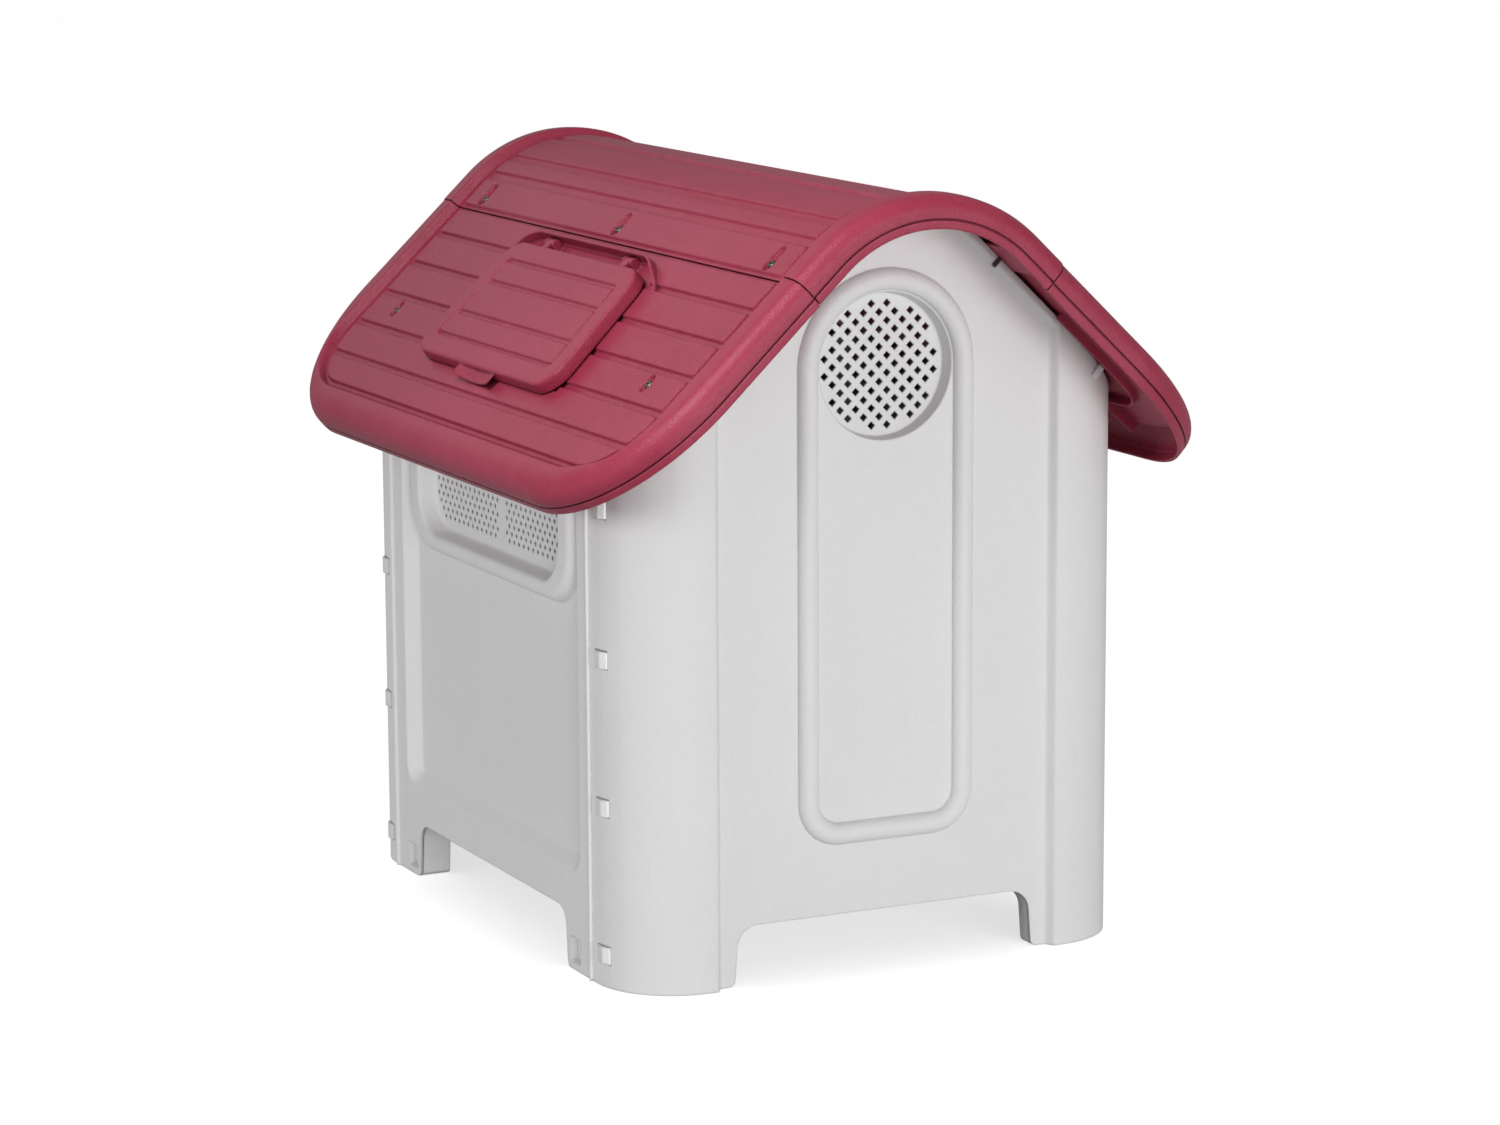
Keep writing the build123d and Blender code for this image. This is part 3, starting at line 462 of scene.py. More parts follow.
def gap_path(foot_half, top_half, top, top_radius, foot_radius):
    """Gap between two legs, from the left foot up, across and down to the right foot."""
    right = [(0.0, top)]
    right += round_corner((0, top), (top_half, top), (foot_half, 0), top_radius, 8)
    right += round_corner((top_half, top), (foot_half, 0), (foot_half + 60, 0), foot_radius, 6)
    return [(-x, y) for x, y in right[:0:-1]] + right


def path_normals(path):
    """Unit normal on the right-hand side of a path at each of its points."""
    normals = []
    for i in range(len(path)):
        along = np.array(path[min(i + 1, len(path) - 1)]) - np.array(path[max(i - 1, 0)])
        along = along / np.linalg.norm(along)
        normals.append((along[1], -along[0]))
    return normals


# ------------------------------------------------------------------ sheets and solids
class Sheet:
    """Flat layout of outlines and creases, triangulated before it is lifted into a skin."""

    def __init__(self):
        self.points, self.edges = [], []

    def loop(self, points, closed=True):
        first = len(self.points)
        last = first + len(points) - 1
        self.points += [Vector((float(p[0]), float(p[1]))) for p in points]
        self.edges += [(i, i + 1) for i in range(first, last)]
        if closed:
            self.edges.append((last, first))

    def rings(self, shape, offsets):
        for offset in offsets:
            self.loop(shape.ring(offset))

    def at_x(self, x, y0, y1):
        self.loop([(x, y0), (x, y1)], False)

    def at_y(self, y, x0, x1):
        self.loop([(x0, y), (x1, y)], False)

    def grid(self, x0, x1, x_step, y0, y1, y_step):
        for x in np.arange(math.ceil(x0 / x_step) * x_step, x1, x_step):
            self.at_x(x, y0, y1)
        for y in np.arange(math.ceil(y0 / y_step) * y_step, y1, y_step):
            self.at_y(y, x0, x1)

    def diamonds(self, centres, reach):
        for x, y in centres:
            self.loop([(x + reach, y), (x, y + reach), (x - reach, y), (x, y - reach)])

    def solve(self, inside):
        verts, _, faces = delaunay_2d_cdt(self.points, self.edges, [], 0, 1e-4)[:3]
        verts = np.array([(v[0], v[1]) for v in verts])
        faces = np.array([f for f in faces if len(f) == 3], int)
        faces = faces[inside(verts[faces].mean(1))]
        used, index = np.unique(faces, return_inverse=True)
        return verts[used], index.reshape(-1, 3)


def cut_diamonds(kept, near, points, centres, reach):
    """Drop the points inside diamond holes; only those marked near are tested."""
    near = np.where(near)[0]
    away = np.abs(points[near][:, None, :] - np.array(centres)[None, :, :])
    kept[near[(away[..., 0] + away[..., 1] < reach).any(1)]] = False


def shell(faces, outside, inside):
    """Closed shell between two lifted copies of one triangulation."""
    count = len(outside)
    edges = np.concatenate([faces[:, [0, 1]], faces[:, [1, 2]], faces[:, [2, 0]]])
    border = {}                              # edges met once; None marks a shared edge
    for a, b in edges.tolist():
        key = (min(a, b), max(a, b))
        border[key] = None if key in border else (a, b)
    solid = faces.tolist() + (faces[:, ::-1] + count).tolist()
    for edge in border.values():
        if edge is not None:
            a, b = edge
            solid.append([b, a, a + count, b + count])
    return np.concatenate([outside, inside]), solid, count


def sweep(rows):
    """Closed tube through matching closed sections, with flat ends."""
    size, count = len(rows[0]), len(rows)
    verts = np.concatenate([np.asarray(row, float) for row in rows])
    faces = [list(range(size))[::-1], list(range((count - 1) * size, count * size))]
    for j in range(count - 1):
        for i in range(size):
            a, b = j * size + i, j * size + (i + 1) % size
            faces.append([a, b, b + size, a + size])
    return verts, faces


def prism(start, end, bevel, segments=2):
    """Solid between two matching 3-D polygons, with its edges rounded."""
    size = len(start)
    bm = bmesh.new()
    verts = [bm.verts.new(tuple(p)) for p in [*start, *end]]
    faces = [list(range(size))[::-1], list(range(size, 2 * size))]
    faces += [[i, (i + 1) % size, size + (i + 1) % size, size + i] for i in range(size)]
    for face in faces:
        bm.faces.new([verts[i] for i in face])
    bmesh.ops.recalc_face_normals(bm, faces=bm.faces)
    bmesh.ops.bevel(bm, geom=list(bm.edges), offset=bevel, segments=segments, profile=0.5,
                    affect="EDGES", clamp_overlap=True)
    bm.verts.index_update()
    solid = (np.array([v.co[:] for v in bm.verts]), [[v.index for v in f.verts] for f in bm.faces])
    bm.free()
    return solid


def on_slope(section, y, side=1, drop=PANEL_DROP):
    """Lift (down, depth) points to one roof slope; y is one value or one per point."""
    down, depth = np.array(section, float).T
    return slope_pos(down, y + np.zeros(len(down)), depth + drop, side)


def slope_prism(section, y0, y1, side=1, bevel=0.3, segments=2, drop=PANEL_DROP):
    return prism(on_slope(section, y0, side, drop), on_slope(section, y1, side, drop),
                 bevel, segments)


def slope_box(down, y, depth, side, **options):
    """Box between (low, high) pairs in slope coordinates."""
    section = [(down[0], depth[0]), (down[1], depth[0]), (down[1], depth[1]), (down[0], depth[1])]
    return slope_prism(section, *y, side, **options)


def slope_rail(path, section_at, side):
    """Rail along a (down, y) path; section_at(down) gives (offset across, depth) points."""
    rows = []
    for (down, y), (n_down, n_y) in zip(path, path_normals(path)):
        across, depth = np.array(section_at(down)).T
        rows.append(slope_pos(down + n_down * across, y + n_y * across, depth + PANEL_DROP, side))
    return sweep(rows)


def gap_lip(gap, place, near, far, thick=2.8):
    """Lip round a leg gap, between two depths behind the wall face."""
    rows = []
    for (along, z), (n_along, n_z) in zip(gap, path_normals(gap)):
        z = max(z, 0.0)
        outer, outer_z = along - n_along * thick, max(z - n_z * thick, 0.05)
        rows.append([place(along, near, z), place(outer, near, outer_z),
                     place(outer, far, outer_z), place(along, far, z)])
    return sweep(rows)


def piece(node, parts, mat, body="house"):
    """Join solids (verts, faces[, number of outside verts]) into one object in place of node."""
    inner = []                               # 1 on skins that face the inside of the house, where the wall material paints shade
    bm = bmesh.new()
    for verts, faces, *outside in parts:
        n_outside = outside[0] if outside else len(verts)
        inner += [0.0] * n_outside + [1.0] * (len(verts) - n_outside)
        placed = [bm.verts.new((p[0] * 0.001, p[1] * 0.001, p[2] * 0.001))
                  for p in np.asarray(verts).tolist()]
        made = []
        for face in faces:
            try:                             # bmesh refuses a face that is already there
                made.append(bm.faces.new([placed[i] for i in face]))
            except ValueError:
                pass
        bmesh.ops.recalc_face_normals(bm, faces=made)
    name = node + "_moulding"
    me = bpy.data.meshes.new(name)
    bm.to_mesh(me)
    bm.free()
    me.polygons.foreach_set("use_smooth", [True] * len(me.polygons))
    me.set_sharp_from_angle(angle=math.radians(38))
    me.attributes.new("inner", "FLOAT", "POINT").data.foreach_set("value", inner)
    ob = bpy.data.objects.new(name, me)
    scene.collection.objects.link(ob)
    me.materials.append(mat)
    weighted = ob.modifiers.new("flat_faces", "WEIGHTED_NORMAL")
    weighted.mode = "FACE_AREA"
    weighted.weight = 50
    weighted.keep_sharp = True
    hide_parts(node)
    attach(ob, body)


# ------------------------------------------------------------------ roof rim and deck
RIM_WIDTH = 44.0                             # the rim section starts this far inside the edge
DECK_EDGE = 344.9                            # middle of the roll from deck up to the rim
DECK_SINK = 8.0                              # deck level under the rim
ROLL = 3.3                                   # half width of that roll
ROLL_RINGS = doubled([-3.3, -2.7, -2.0, -1.3, -0.6, 0.0, 0.6, 1.3, 2.0, 2.7, 3.3])
SCREW_HOLE_R = 2.6
POCKET_ROLL = (1.0, 0.1)                     # half width and centre of the screw pockets' edge

# (inward distance, depth) of the parting line and the skirt under it
SKIRT = [(0.0, 18.6), (0.0, 19.2), (1.8, 19.35), (1.8, 20.8), (-0.1, 21.0), (-0.2, 22.5),
         (0.0, 27.0), (0.2, 27.6), (0.8, 28.0)]


def rim_sections():
    """Outside skin of the rim at the gable and at the eave, as (inward distance, depth) rows
    from the crown over the outer rounding to the skirt's bottom edge."""
    gable, eave = [], []
    for inward in (RIM_WIDTH, 38.0, 32.0, 27.0):
        gable.append((inward, -0.45 * float(smooth((RIM_WIDTH - inward) / 14.0))))
        eave.append((inward, 0.0))
    gable += [(22.5, -0.45), (18.5, -0.35), (15.6, -0.15)]
    eave += [(25.6, 0.0), (24.9, 0.0), (24.2, 0.0)]
    gable_r, eave_r, eave_depth = 13.5, 23.5, 18.0
    for i in range(10):
        angle = math.radians(i * 10)
        gable.append((gable_r - gable_r * math.sin(angle), gable_r - gable_r * math.cos(angle)))
        eave.append((eave_r - eave_r * math.sin(angle) * 0.985,
                     (eave_r - eave_r * math.cos(angle)) * eave_depth / eave_r))
    gable += SKIRT
    eave += [(inward + 0.35, depth) for inward, depth in SKIRT]
    return np.array(gable), np.array(eave)


def inside_skin(section):
    """The same section moved inward by the sheet thickness (parting line left out)."""
    plain = section.copy()
    skirt = plain[:, 1] > 18.4
    plain[skirt, 0] = 0.0
    along = np.gradient(plain, axis=0)
    normal = np.stack([-along[:, 1], along[:, 0]], 1)
    normal /= np.maximum(np.linalg.norm(normal, axis=1), 1e-9)[:, None]
    # the section runs outward then down, so the inside is towards more depth and inward
    sign = np.where((normal @ np.array([0.35, 1.0])) < 0, -1.0, 1.0)
    sign[skirt] = np.where(normal[skirt, 0] < 0, -1.0, 1.0)
    skin = plain + SHEET * normal * sign[:, None]
    skin[-len(SKIRT):, 1] = section[-len(SKIRT):, 1]
    skin[-1, 0] = SHEET - 0.6
    skin[:4] = section[:4] + np.array([0.0, SHEET])
    return skin


RIM_OUTSIDE = rim_sections()
RIM_SKINS = (RIM_OUTSIDE, tuple(inside_skin(section) for section in RIM_OUTSIDE))
gable_steps, eave_steps = (np.linalg.norm(np.diff(s, axis=0), axis=1) for s in RIM_OUTSIDE)
# layout distance of each section row outside the nominal edge
RIM_DIST = -RIM_WIDTH + np.concatenate([[0], np.cumsum(np.maximum(gable_steps, eave_steps * 0.6))])
RIM_OUT = RIM_DIST[-1]


def rim_map(dist, blend, inner):
    """Inward distance and depth of a rim skin, blended from gable (0) to eave (1)."""
    gable, eave = RIM_SKINS[inner]
    return tuple((1 - blend) * np.interp(dist, RIM_DIST, gable[:, i])
                 + blend * np.interp(dist, RIM_DIST, eave[:, i]) for i in (0, 1))


def deck_relief(lift, pockets, points):
    """Depth added to the deck by its raised pads and the screw pockets sunk in them."""
    depth = -3.0 * lift
    return depth + (0.05 - depth) * covered(pockets, points, *POCKET_ROLL)


def roof_depth(rim, rim_depth, deck_dist, relief, inner):
    level = SHEET if inner else 0.0
    depth = np.where(rim, rim_depth, level) + DECK_SINK * fall(deck_dist, ROLL, level)
    return depth if inner else depth + relief


# ------------------------------------------------------------------ ridge cap
CAP_EDGE = to_arc(168.0)
# first and last arc length of each raised pad
CAP_PADS = ((-CAP_EDGE + 3.2, -to_arc(132)), (-to_arc(122), -78.0), (-68.0, -26.0), (-16.0, 16.0),
            (26.0, 68.0), (78.0, to_arc(122)), (to_arc(132), CAP_EDGE - 3.2))
CAP_PAD_HALF = 330.5
CAP_PAD_ROLL = 1.3


def make_cap():
    """Layout: x is the arc length from the ridge, y runs along it."""
    sheet = Sheet()
    end = ROOF_HALF + RIM_OUT
    sheet.loop([(-CAP_EDGE, -end), (CAP_EDGE, -end), (CAP_EDGE, end), (-CAP_EDGE, end)])
    for dist in RIM_DIST[:-1]:
        for sign in (1, -1):
            sheet.at_y(sign * (ROOF_HALF + dist), -CAP_EDGE, CAP_EDGE)
    for x in np.linspace(-ARC_END, ARC_END, 53):
        sheet.at_x(x, -end, end)
    for x in (ARC_END + 11, ARC_END + 22):
        sheet.at_x(x, -end, end)
        sheet.at_x(-x, -end, end)
    for y in np.arange(-325, 326, 25.0):
        sheet.at_y(y, -CAP_EDGE, CAP_EDGE)
    for offset in ROLL_RINGS:
        for sign in (1, -1):
            sheet.at_y(sign * (DECK_EDGE + offset), -CAP_EDGE, CAP_EDGE)
    pads = [rect(x0, x1, -CAP_PAD_HALF, CAP_PAD_HALF, 2.2, 22.5) for x0, x1 in CAP_PADS]
    for pad in pads:
        sheet.rings(pad, band(CAP_PAD_ROLL))
    pockets, holes = [], []
    for side in (1, -1):
        for y in (-297.5, 0.0, 297.5):
            core = sorted((side * to_arc(down), y) for down in (150 - 6.4, 150 + 6.4))
            pockets.append(Rounded(core, 6.2, 20))
            sheet.rings(pockets[-1], band(*POCKET_ROLL))
            holes.append(Rounded([(side * to_arc(155.0), y)], SCREW_HOLE_R, 24))
            sheet.loop(holes[-1].ring(0))

    def inside(points):
        kept = (np.abs(points[:, 0]) < CAP_EDGE) & (np.abs(points[:, 1]) < end)
        for hole in holes:
            kept &= hole.dist(points) > 0
        return kept

    flat, faces = sheet.solve(inside)
    x, y = flat.T
    dist = np.abs(y) - ROOF_HALF
    rim = dist > -RIM_WIDTH + 1e-6
    relief = deck_relief(covered(pads, flat, CAP_PAD_ROLL), pockets, flat)
    skins = []
    for inner in (False, True):
        inward, depth = rim_map(dist, 0.0, inner)
        placed_y = np.where(rim, np.sign(y) * (ROOF_HALF - inward), y)
        depth = roof_depth(rim, depth, np.abs(y) - DECK_EDGE, relief, inner)
        skins.append(roof_pos(x, placed_y, depth))
    piece("ridge_cap", [shell(faces, *skins)], ROOF)


# ------------------------------------------------------------------ lower roof panels
PANEL_TOP = 169.1
PLANK_LINES = (202.8, 239.6, 276.6, 314.0, 351.0)    # grooves between the raised planks
PLANK_HALF, PLANK_END = 330.0, 379.5
PLANK_CORNER, PLANK_R = 59, 2.4              # rounding of the field and of each plank
PLANK_ROLL = 0.9
FIELD_ROLL = 1.2                             # edge of the flat field round the hatch
UPSTAND_ROLL = (0.5, -0.4)                   # outside edge of the rim round the hatch opening

# (down, thickness offset inward) section of the lip under the cap's rims
LIP = np.array([(165.6, 0.35), (169.4, 0.35), (169.4, -0.7), (171.6, -0.7),
                (171.6, 1.7), (165.6, 1.7)])

HINGE_DOWN, HINGE_DEPTH = 187, 1.5
HINGE_YS = (-82.0, 82.0)

# (down, y) along half of the rain lip above the hatch lid
RAIN_LIP = [(209.5, -154.5), (206, -153), (202.6, -151), (199, -147.6), (194.5, -140.5),
            (190, -133), (186, -126), (183.2, -119.5), (181.4, -113.5), (180.5, -107)]


def planks():
    """Raised plank outlines, from the cap down to the eave."""
    starts = [PANEL_TOP + 2.5] + [line + 3.0 for line in PLANK_LINES]
    ends = [line - 3.0 for line in PLANK_LINES] + [PLANK_END]
    down, y = PLANK_END - PLANK_CORNER, PLANK_HALF - PLANK_CORNER
    shapes = []
    for start, end in zip(starts, ends):
        planes = [(-1, 0, -start), (1, 0, end)]
        planes += arc_planes(down, y, PLANK_CORNER, 0, 90, 24)
        planes += arc_planes(down, -y, PLANK_CORNER, 270, 360, 24)
        for x, turn in ((end - PLANK_R, 0), (start + PLANK_R, 90)):
            small = PLANK_HALF - PLANK_R
            planes += arc_planes(x, small, PLANK_R, turn, 90 + turn, 3)
            planes += arc_planes(x, -small, PLANK_R, 270 - turn, 360 - turn, 3)
        shapes.append(Planes(planes))
    return shapes


def hatch_field():
    """Flat field round the hatch: straight top and bottom, slanted sides."""
    planes = [(-1, 0, -183.5), (1, 0, 322.0)]
    # normal (down, y) and a point (down, y) on each slanted side
    for n_down, n_y, down, y in ((-0.8490, 0.5284, 199, 133), (-0.0649, 0.9979, 322, 141)):
        for sign in (-1, 1):
            planes.append((n_down, sign * n_y, n_down * down + n_y * y))
    return Planes(planes)


def hinge_arc(radius, degrees):
    return [(HINGE_DOWN + radius * math.cos(math.radians(q)),
             HINGE_DEPTH - radius * math.sin(math.radians(q))) for q in degrees]


def rim_lip(sign, side):
    """The cap's under-lip carried round one rim, so no light shows through the joint."""
    rows = []
    for dist in np.linspace(-42.0, RIM_OUT - 1.2, 34):
        inward, depth = rim_map(dist, 0.0, True)
        next_inward, next_depth = rim_map(dist + 0.4, 0.0, True)
        step_in, step_deep = next_inward - inward, next_depth - depth
        length = max(math.hypot(step_in, step_deep), 1e-6)
        sink = DECK_SINK * fall(ROOF_HALF + dist - DECK_EDGE, ROLL, SHEET)
        offset = LIP[:, 1]
        y = sign * (ROOF_HALF - inward - step_deep / length * offset)
        depths = depth + sink - step_in / length * offset
        rows.append(on_slope(np.stack([LIP[:, 0], depths], 1), y, side))
    return sweep(rows)


def locating_rib(side):
    """Rib along the eave and round the corners towards the ridge."""
    down, y, radius = 311.5, -265.0, 38.7
    path = [(228.0, y - radius)]
    path += [(down + radius * math.sin(math.radians(q)), y - radius * math.cos(math.radians(q)))
             for q in range(0, 91, 10)]
    path += [(down, -y) for down, y in path[::-1]]
    section = [(-1.25, 10.7), (1.25, 10.7), (1.15, 17.4), (0.7, 18.0), (-0.7, 18.0), (-1.15, 17.4)]
    return slope_rail(path, lambda down: section, side)


def rain_lip(side):
    path = RAIN_LIP + [(180.5, y) for y in np.arange(-94, 95, 13.4)]
    path += [(down, -y) for down, y in RAIN_LIP[::-1]]

    def section(down):
        top = -5.0 + 9.0 * float(smooth((down - 183.0) / 26.0)) ** 1.2
        return [(-1.3, 8.6), (1.3, 8.6), (1.3, top + 1.1), (1.05, top + 0.35), (0.45, top),
                (-0.45, top), (-1.05, top + 0.35), (-1.3, top + 1.1)]
    return slope_rail(path, section, side)


def make_panel(side, hatch):
    """Layout: x is the distance down the slope, y runs along the ridge."""
    sheet = Sheet()
    edge = Rounded([(-900, -235), (279, -235), (279, 235), (-900, 235)], 140, 3.0)
    sheet.at_x(PANEL_TOP, -500, 500)
    sheet.rings(edge, RIM_DIST)
    deck_y = DECK_EDGE - 65
    deck = Rounded([(-900, -deck_y), (321, -deck_y), (321, deck_y), (-900, deck_y)], 65, 5.0)
    sheet.rings(deck, ROLL_RINGS)
    sheet.grid(PANEL_TOP, EAVE + 40, 22, -420, 420, 26)
    pads = planks()
    for pad in pads:
        sheet.rings(pad, band(PLANK_ROLL))
    holes, pockets = [], []
    for y in (-273.0, 273.0):
        pockets.append(Rounded([(291 - 3.6, y), (291 + 3.6, y)], 5.0, 20))
        sheet.rings(pockets[-1], band(*POCKET_ROLL))
        holes.append(Rounded([(291.0, y)], SCREW_HOLE_R, 24))
        sheet.loop(holes[-1].ring(0))
    if hatch:
        field = hatch_field()
        sheet.rings(field, band(FIELD_ROLL))
        opening = rect(209, 314, -121, 121, 13)
        upstand = Rounded(opening.core, opening.radius + SHEET, 15)
        sheet.rings(upstand, band(*UPSTAND_ROLL))
        sheet.loop(opening.ring(0))
        sheet.rings(opening, [0.5])
        holes.append(opening)

    def inside(points):
        kept = (points[:, 0] > PANEL_TOP) & (edge.dist(points) < RIM_OUT)
        for hole in holes:
            kept &= hole.dist(points) > 0
        return kept

    flat, faces = sheet.solve(inside)
    dist, outward = edge.measure(flat)
    # 0 on the gable edges, 1 on the eave
    angle = np.arctan2(np.maximum(outward[:, 0], 0), np.abs(outward[:, 1]) + 1e-9)
    blend = smooth(np.degrees(angle) / 90.0)
    lift = covered(pads, flat, PLANK_ROLL)
    if hatch:
        lift = np.minimum(lift, 1 - fall(field.dist(flat), FIELD_ROLL))
    relief = deck_relief(lift, pockets, flat)
    if hatch:
        raised = fall(upstand.dist(flat), *UPSTAND_ROLL)
        relief = relief + (-9.0 - relief) * raised
        relief = relief + 0.5 * fall(opening.dist(flat), 0.5, 0.25) * raised
    rim = dist > -RIM_WIDTH + 1e-6
    skins = []
    for inner in (False, True):
        inward, depth = rim_map(dist, blend, inner)
        placed = np.where(rim[:, None], flat - (dist + inward)[:, None] * outward, flat)
        depth = roof_depth(rim, depth, deck.dist(flat), relief, inner)
        skins.append(slope_pos(placed[:, 0], placed[:, 1], depth + PANEL_DROP, side))
    parts = [shell(faces, *skins)]
    # tongue under the cap, with its joggle
    parts.append(slope_box((138, 171.0), (-333, 333), (12.0, 14.4), side))
    parts.append(slope_box((169.3, 172.5), (-333, 333), (10.6, 14.4), side))
    parts += [rim_lip(sign, side) for sign in (1, -1)]
    # ribs under the overhang
    parts += [slope_box((351, 391), (y - 1, y + 1), (10.7, 20), side)
              for y in range(-230, 231, 46)]
    parts.append(locating_rib(side))
    if hatch:
        parts.append(rain_lip(side))
        ear_r = 4.6
        ear = hinge_arc(ear_r, range(0, 181, 20))
        ear += [(HINGE_DOWN - ear_r, 8.8), (HINGE_DOWN + ear_r, 8.8)]
        for hinge_y in HINGE_YS:
            for y in (hinge_y - 8.6, hinge_y + 5.4):
                parts.append(slope_prism(ear, y, y + 3.2, side))
    piece("roof_panel_hatch_side" if hatch else "roof_panel_plain_side", parts,
          ROOF)


# ------------------------------------------------------------------ hatch lid
LID_TOP, LID_BOTTOM = 196.0, 330.0           # distance down the slope
LID_TOP_HALF, LID_BOTTOM_HALF = 135.0, 149.0
LID_R = 26.0
LID_RIM = 12.0
LID_ROLL = 0.9
LID_PADS = ((221.4, 242.4), (246.8, 279.2), (283.8, 305.4))      # distance down the slope

# (inward distance, depth) of the lid's edge, outside and inside skins
LID_SECTION = np.array([
    (12.0, -7.5), (8.0, -7.5), (4.4, -7.48), (2.9, -7.4), (2.0, -7.15), (1.35, -6.65),
    (0.95, -6.0), (0.7, -5.2), (0.5, -3.8), (0.3, -1.6), (0.1, 1.0), (0.0, 3.6),
    (0.25, 4.0), (0.7, 4.2)])
LID_INSIDE = np.array([
    (12.0, -4.9), (8.0, -4.9), (6.4, -4.88), (5.4, -4.8), (4.6, -4.6), (4.0, -4.25),
    (3.55, -3.7), (3.3, -3.1), (3.05, -2.2), (2.85, -0.8), (2.65, 1.2), (2.5, 3.6),
    (2.3, 4.0), (1.9, 4.2)])


def lid_outline(inset, radius, step):
    """The lid's trapezium, its core inset all round and grown again by the radius."""
    corners = [(LID_TOP, -LID_TOP_HALF), (LID_BOTTOM, -LID_BOTTOM_HALF),
               (LID_BOTTOM, LID_BOTTOM_HALF), (LID_TOP, LID_TOP_HALF)]
    return Rounded(Rounded(corners, 0).ring(-inset), radius, step)


def lid_pad(start, end):
    margin, radius = 24.5, 2.6

    def half(down):
        return (LID_TOP_HALF + (LID_BOTTOM_HALF - LID_TOP_HALF) * (down - LID_TOP)
                / (LID_BOTTOM - LID_TOP) - margin)
    y0, y1 = half(start) - radius, half(end) - radius
    start, end = start + radius, end - radius
    return Rounded([(start, -y0), (end, -y1), (end, y1), (start, y0)], radius, 22.5)


def pull_tab():
    """Trough-shaped lip at the lid's lower edge, level at its ends and sagging between."""
    half, thick = 37.4, 1.45
    ends = [half, 37.0, 36.2, 35.0]
    rows = []
    for y in np.concatenate([[-y for y in ends], np.linspace(-33, 33, 23), ends[::-1]]):
        sag = math.cos(min(abs(y) / half, 1.0) * math.pi / 2) ** 0.8
        reach = 9.6 - 1.5 * max(0.0, (abs(y) - 35.0) / 2.4) ** 2
        root, tip = -5.3 + 4.1 * sag, -5.0 + 7.0 * sag
        top = [(-3.4, root), (-0.4, root + 0.1)]
        top += [(t * reach, root + (tip - root) * t ** 0.85) for t in (0.2, 0.45, 0.7, 0.92)]
        under = [(out, depth + thick) for out, depth in top[::-1]]
        nose = [(reach - 0.05, tip + 0.1), (reach, tip + 0.4),
                (reach - 0.05, tip + 1.1), (reach - 0.4, tip + 1.4)]
        section = [(LID_BOTTOM + 0.2 + out, depth) for out, depth in top + nose + under]
        rows.append(on_slope(section, y))
    return sweep(rows)


def make_lid():
    """Layout: x is the distance down the slope, y runs along the ridge."""
    sheet = Sheet()
    outline = lid_outline(LID_R, LID_R, 4.5)
    steps = np.maximum(np.linalg.norm(np.diff(LID_SECTION, axis=0), axis=1), 0.5)
    section_dist = -LID_RIM + np.concatenate([[0], np.cumsum(steps)])
    sheet.rings(outline, section_dist)
    field = lid_outline(21 + 7, 7, 15)
    pads = [lid_pad(start, end) for start, end in LID_PADS]
    for shape in pads + [field]:
        sheet.rings(shape, band(LID_ROLL))
    sheet.grid(190, 345, 14, -170, 170, 20)
    flat, faces = sheet.solve(lambda points: outline.dist(points) < section_dist[-1])
    dist, outward = outline.measure(flat)
    sunk = fall(field.dist(flat), LID_ROLL)
    raised = covered(pads, flat, LID_ROLL)
    rim = dist > -LID_RIM + 1e-6
    skins = []
    for section, level in ((LID_SECTION, -7.5 + 2.2 * sunk - 2.1 * raised * sunk),
                           (LID_INSIDE, -4.9 + 1.6 * sunk)):
        inward, depth = (np.interp(dist, section_dist, section[:, i]) for i in (0, 1))
        placed = np.where(rim[:, None], flat - (dist + inward)[:, None] * outward, flat)
        skins.append(slope_pos(placed[:, 0], placed[:, 1],
                               np.where(rim, depth, level) + PANEL_DROP))
    parts = [shell(faces, *skins), pull_tab()]
    # hinge arms and pins
    arm = hinge_arc(4.2, range(90, 331, 20)) + [(195.0, 2.6), (199.5, 0.6), (199.5, -2.7)]
    pin = hinge_arc(2.4, range(0, -360, -20))
    for y in HINGE_YS:
        parts.append(slope_prism(arm, y - 4.6, y + 4.6, bevel=0.5))
        parts.append(slope_prism(pin, y - 8.4, y + 8.4, bevel=0.25, segments=1))
    piece("hatch_lid", parts, ROOF, "hatch")


# ------------------------------------------------------------------ gable walls
WALL_X = 236.7                               # outer face of the side walls
GABLE_Y = 297.7                              # outer face of the gables
CORNER_R = 70.0
SEAM = 219.6                                 # y where a gable's wrap meets the side wall
LUG_ZS = (27.5, 152.0, 276.0, 400.0)         # snap lugs up the seam
WALL_DEPTH = 15.5                            # wall tops lie this far under the crest
CORNER_START = WALL_X - CORNER_R             # places along the wrapped gable
CORNER_END = WALL_X - CORNER_R + CORNER_R * math.pi / 2

GABLE_RECESS = 8.0
RECESS_ROLL = 3.6
RECESS_DEPTH = 23.2                          # recess border under the crest surface
FRAME_ROLL = (1.9, -1.2)                     # raised frame round the doorway
# distance outside the doorway, and how far the surface drops back there
DOOR_DIST, DOOR_DROP = [0, 0.6, 1.4, 2.6, 4.0], [3.2, 1.6, 0.7, 0.2, 0.0]
BEAD_HALF = 9.1                              # half width of the arched bead on the back wall
BEAD_STEPS = [0.96, 0.88, 0.76, 0.6, 0.4, 0.2]
VENT_Z, VENT_PITCH = 508, 7.2
VENT_DIAMOND = 5.0 / math.sqrt(2)            # centre to corner of a vent hole
VENT_ROLL, VENT_INSIDE_ROLL = (1.0, 0.3), (1.0, 3.3)


def wrap_at(y):
    """Place along the wrapped gable that lies at this y on the side of the house."""
    return CORNER_END + (GABLE_Y - CORNER_R) - y


def corner_turn(along):
    return np.clip((along - CORNER_START) / CORNER_R, 0, math.pi / 2)


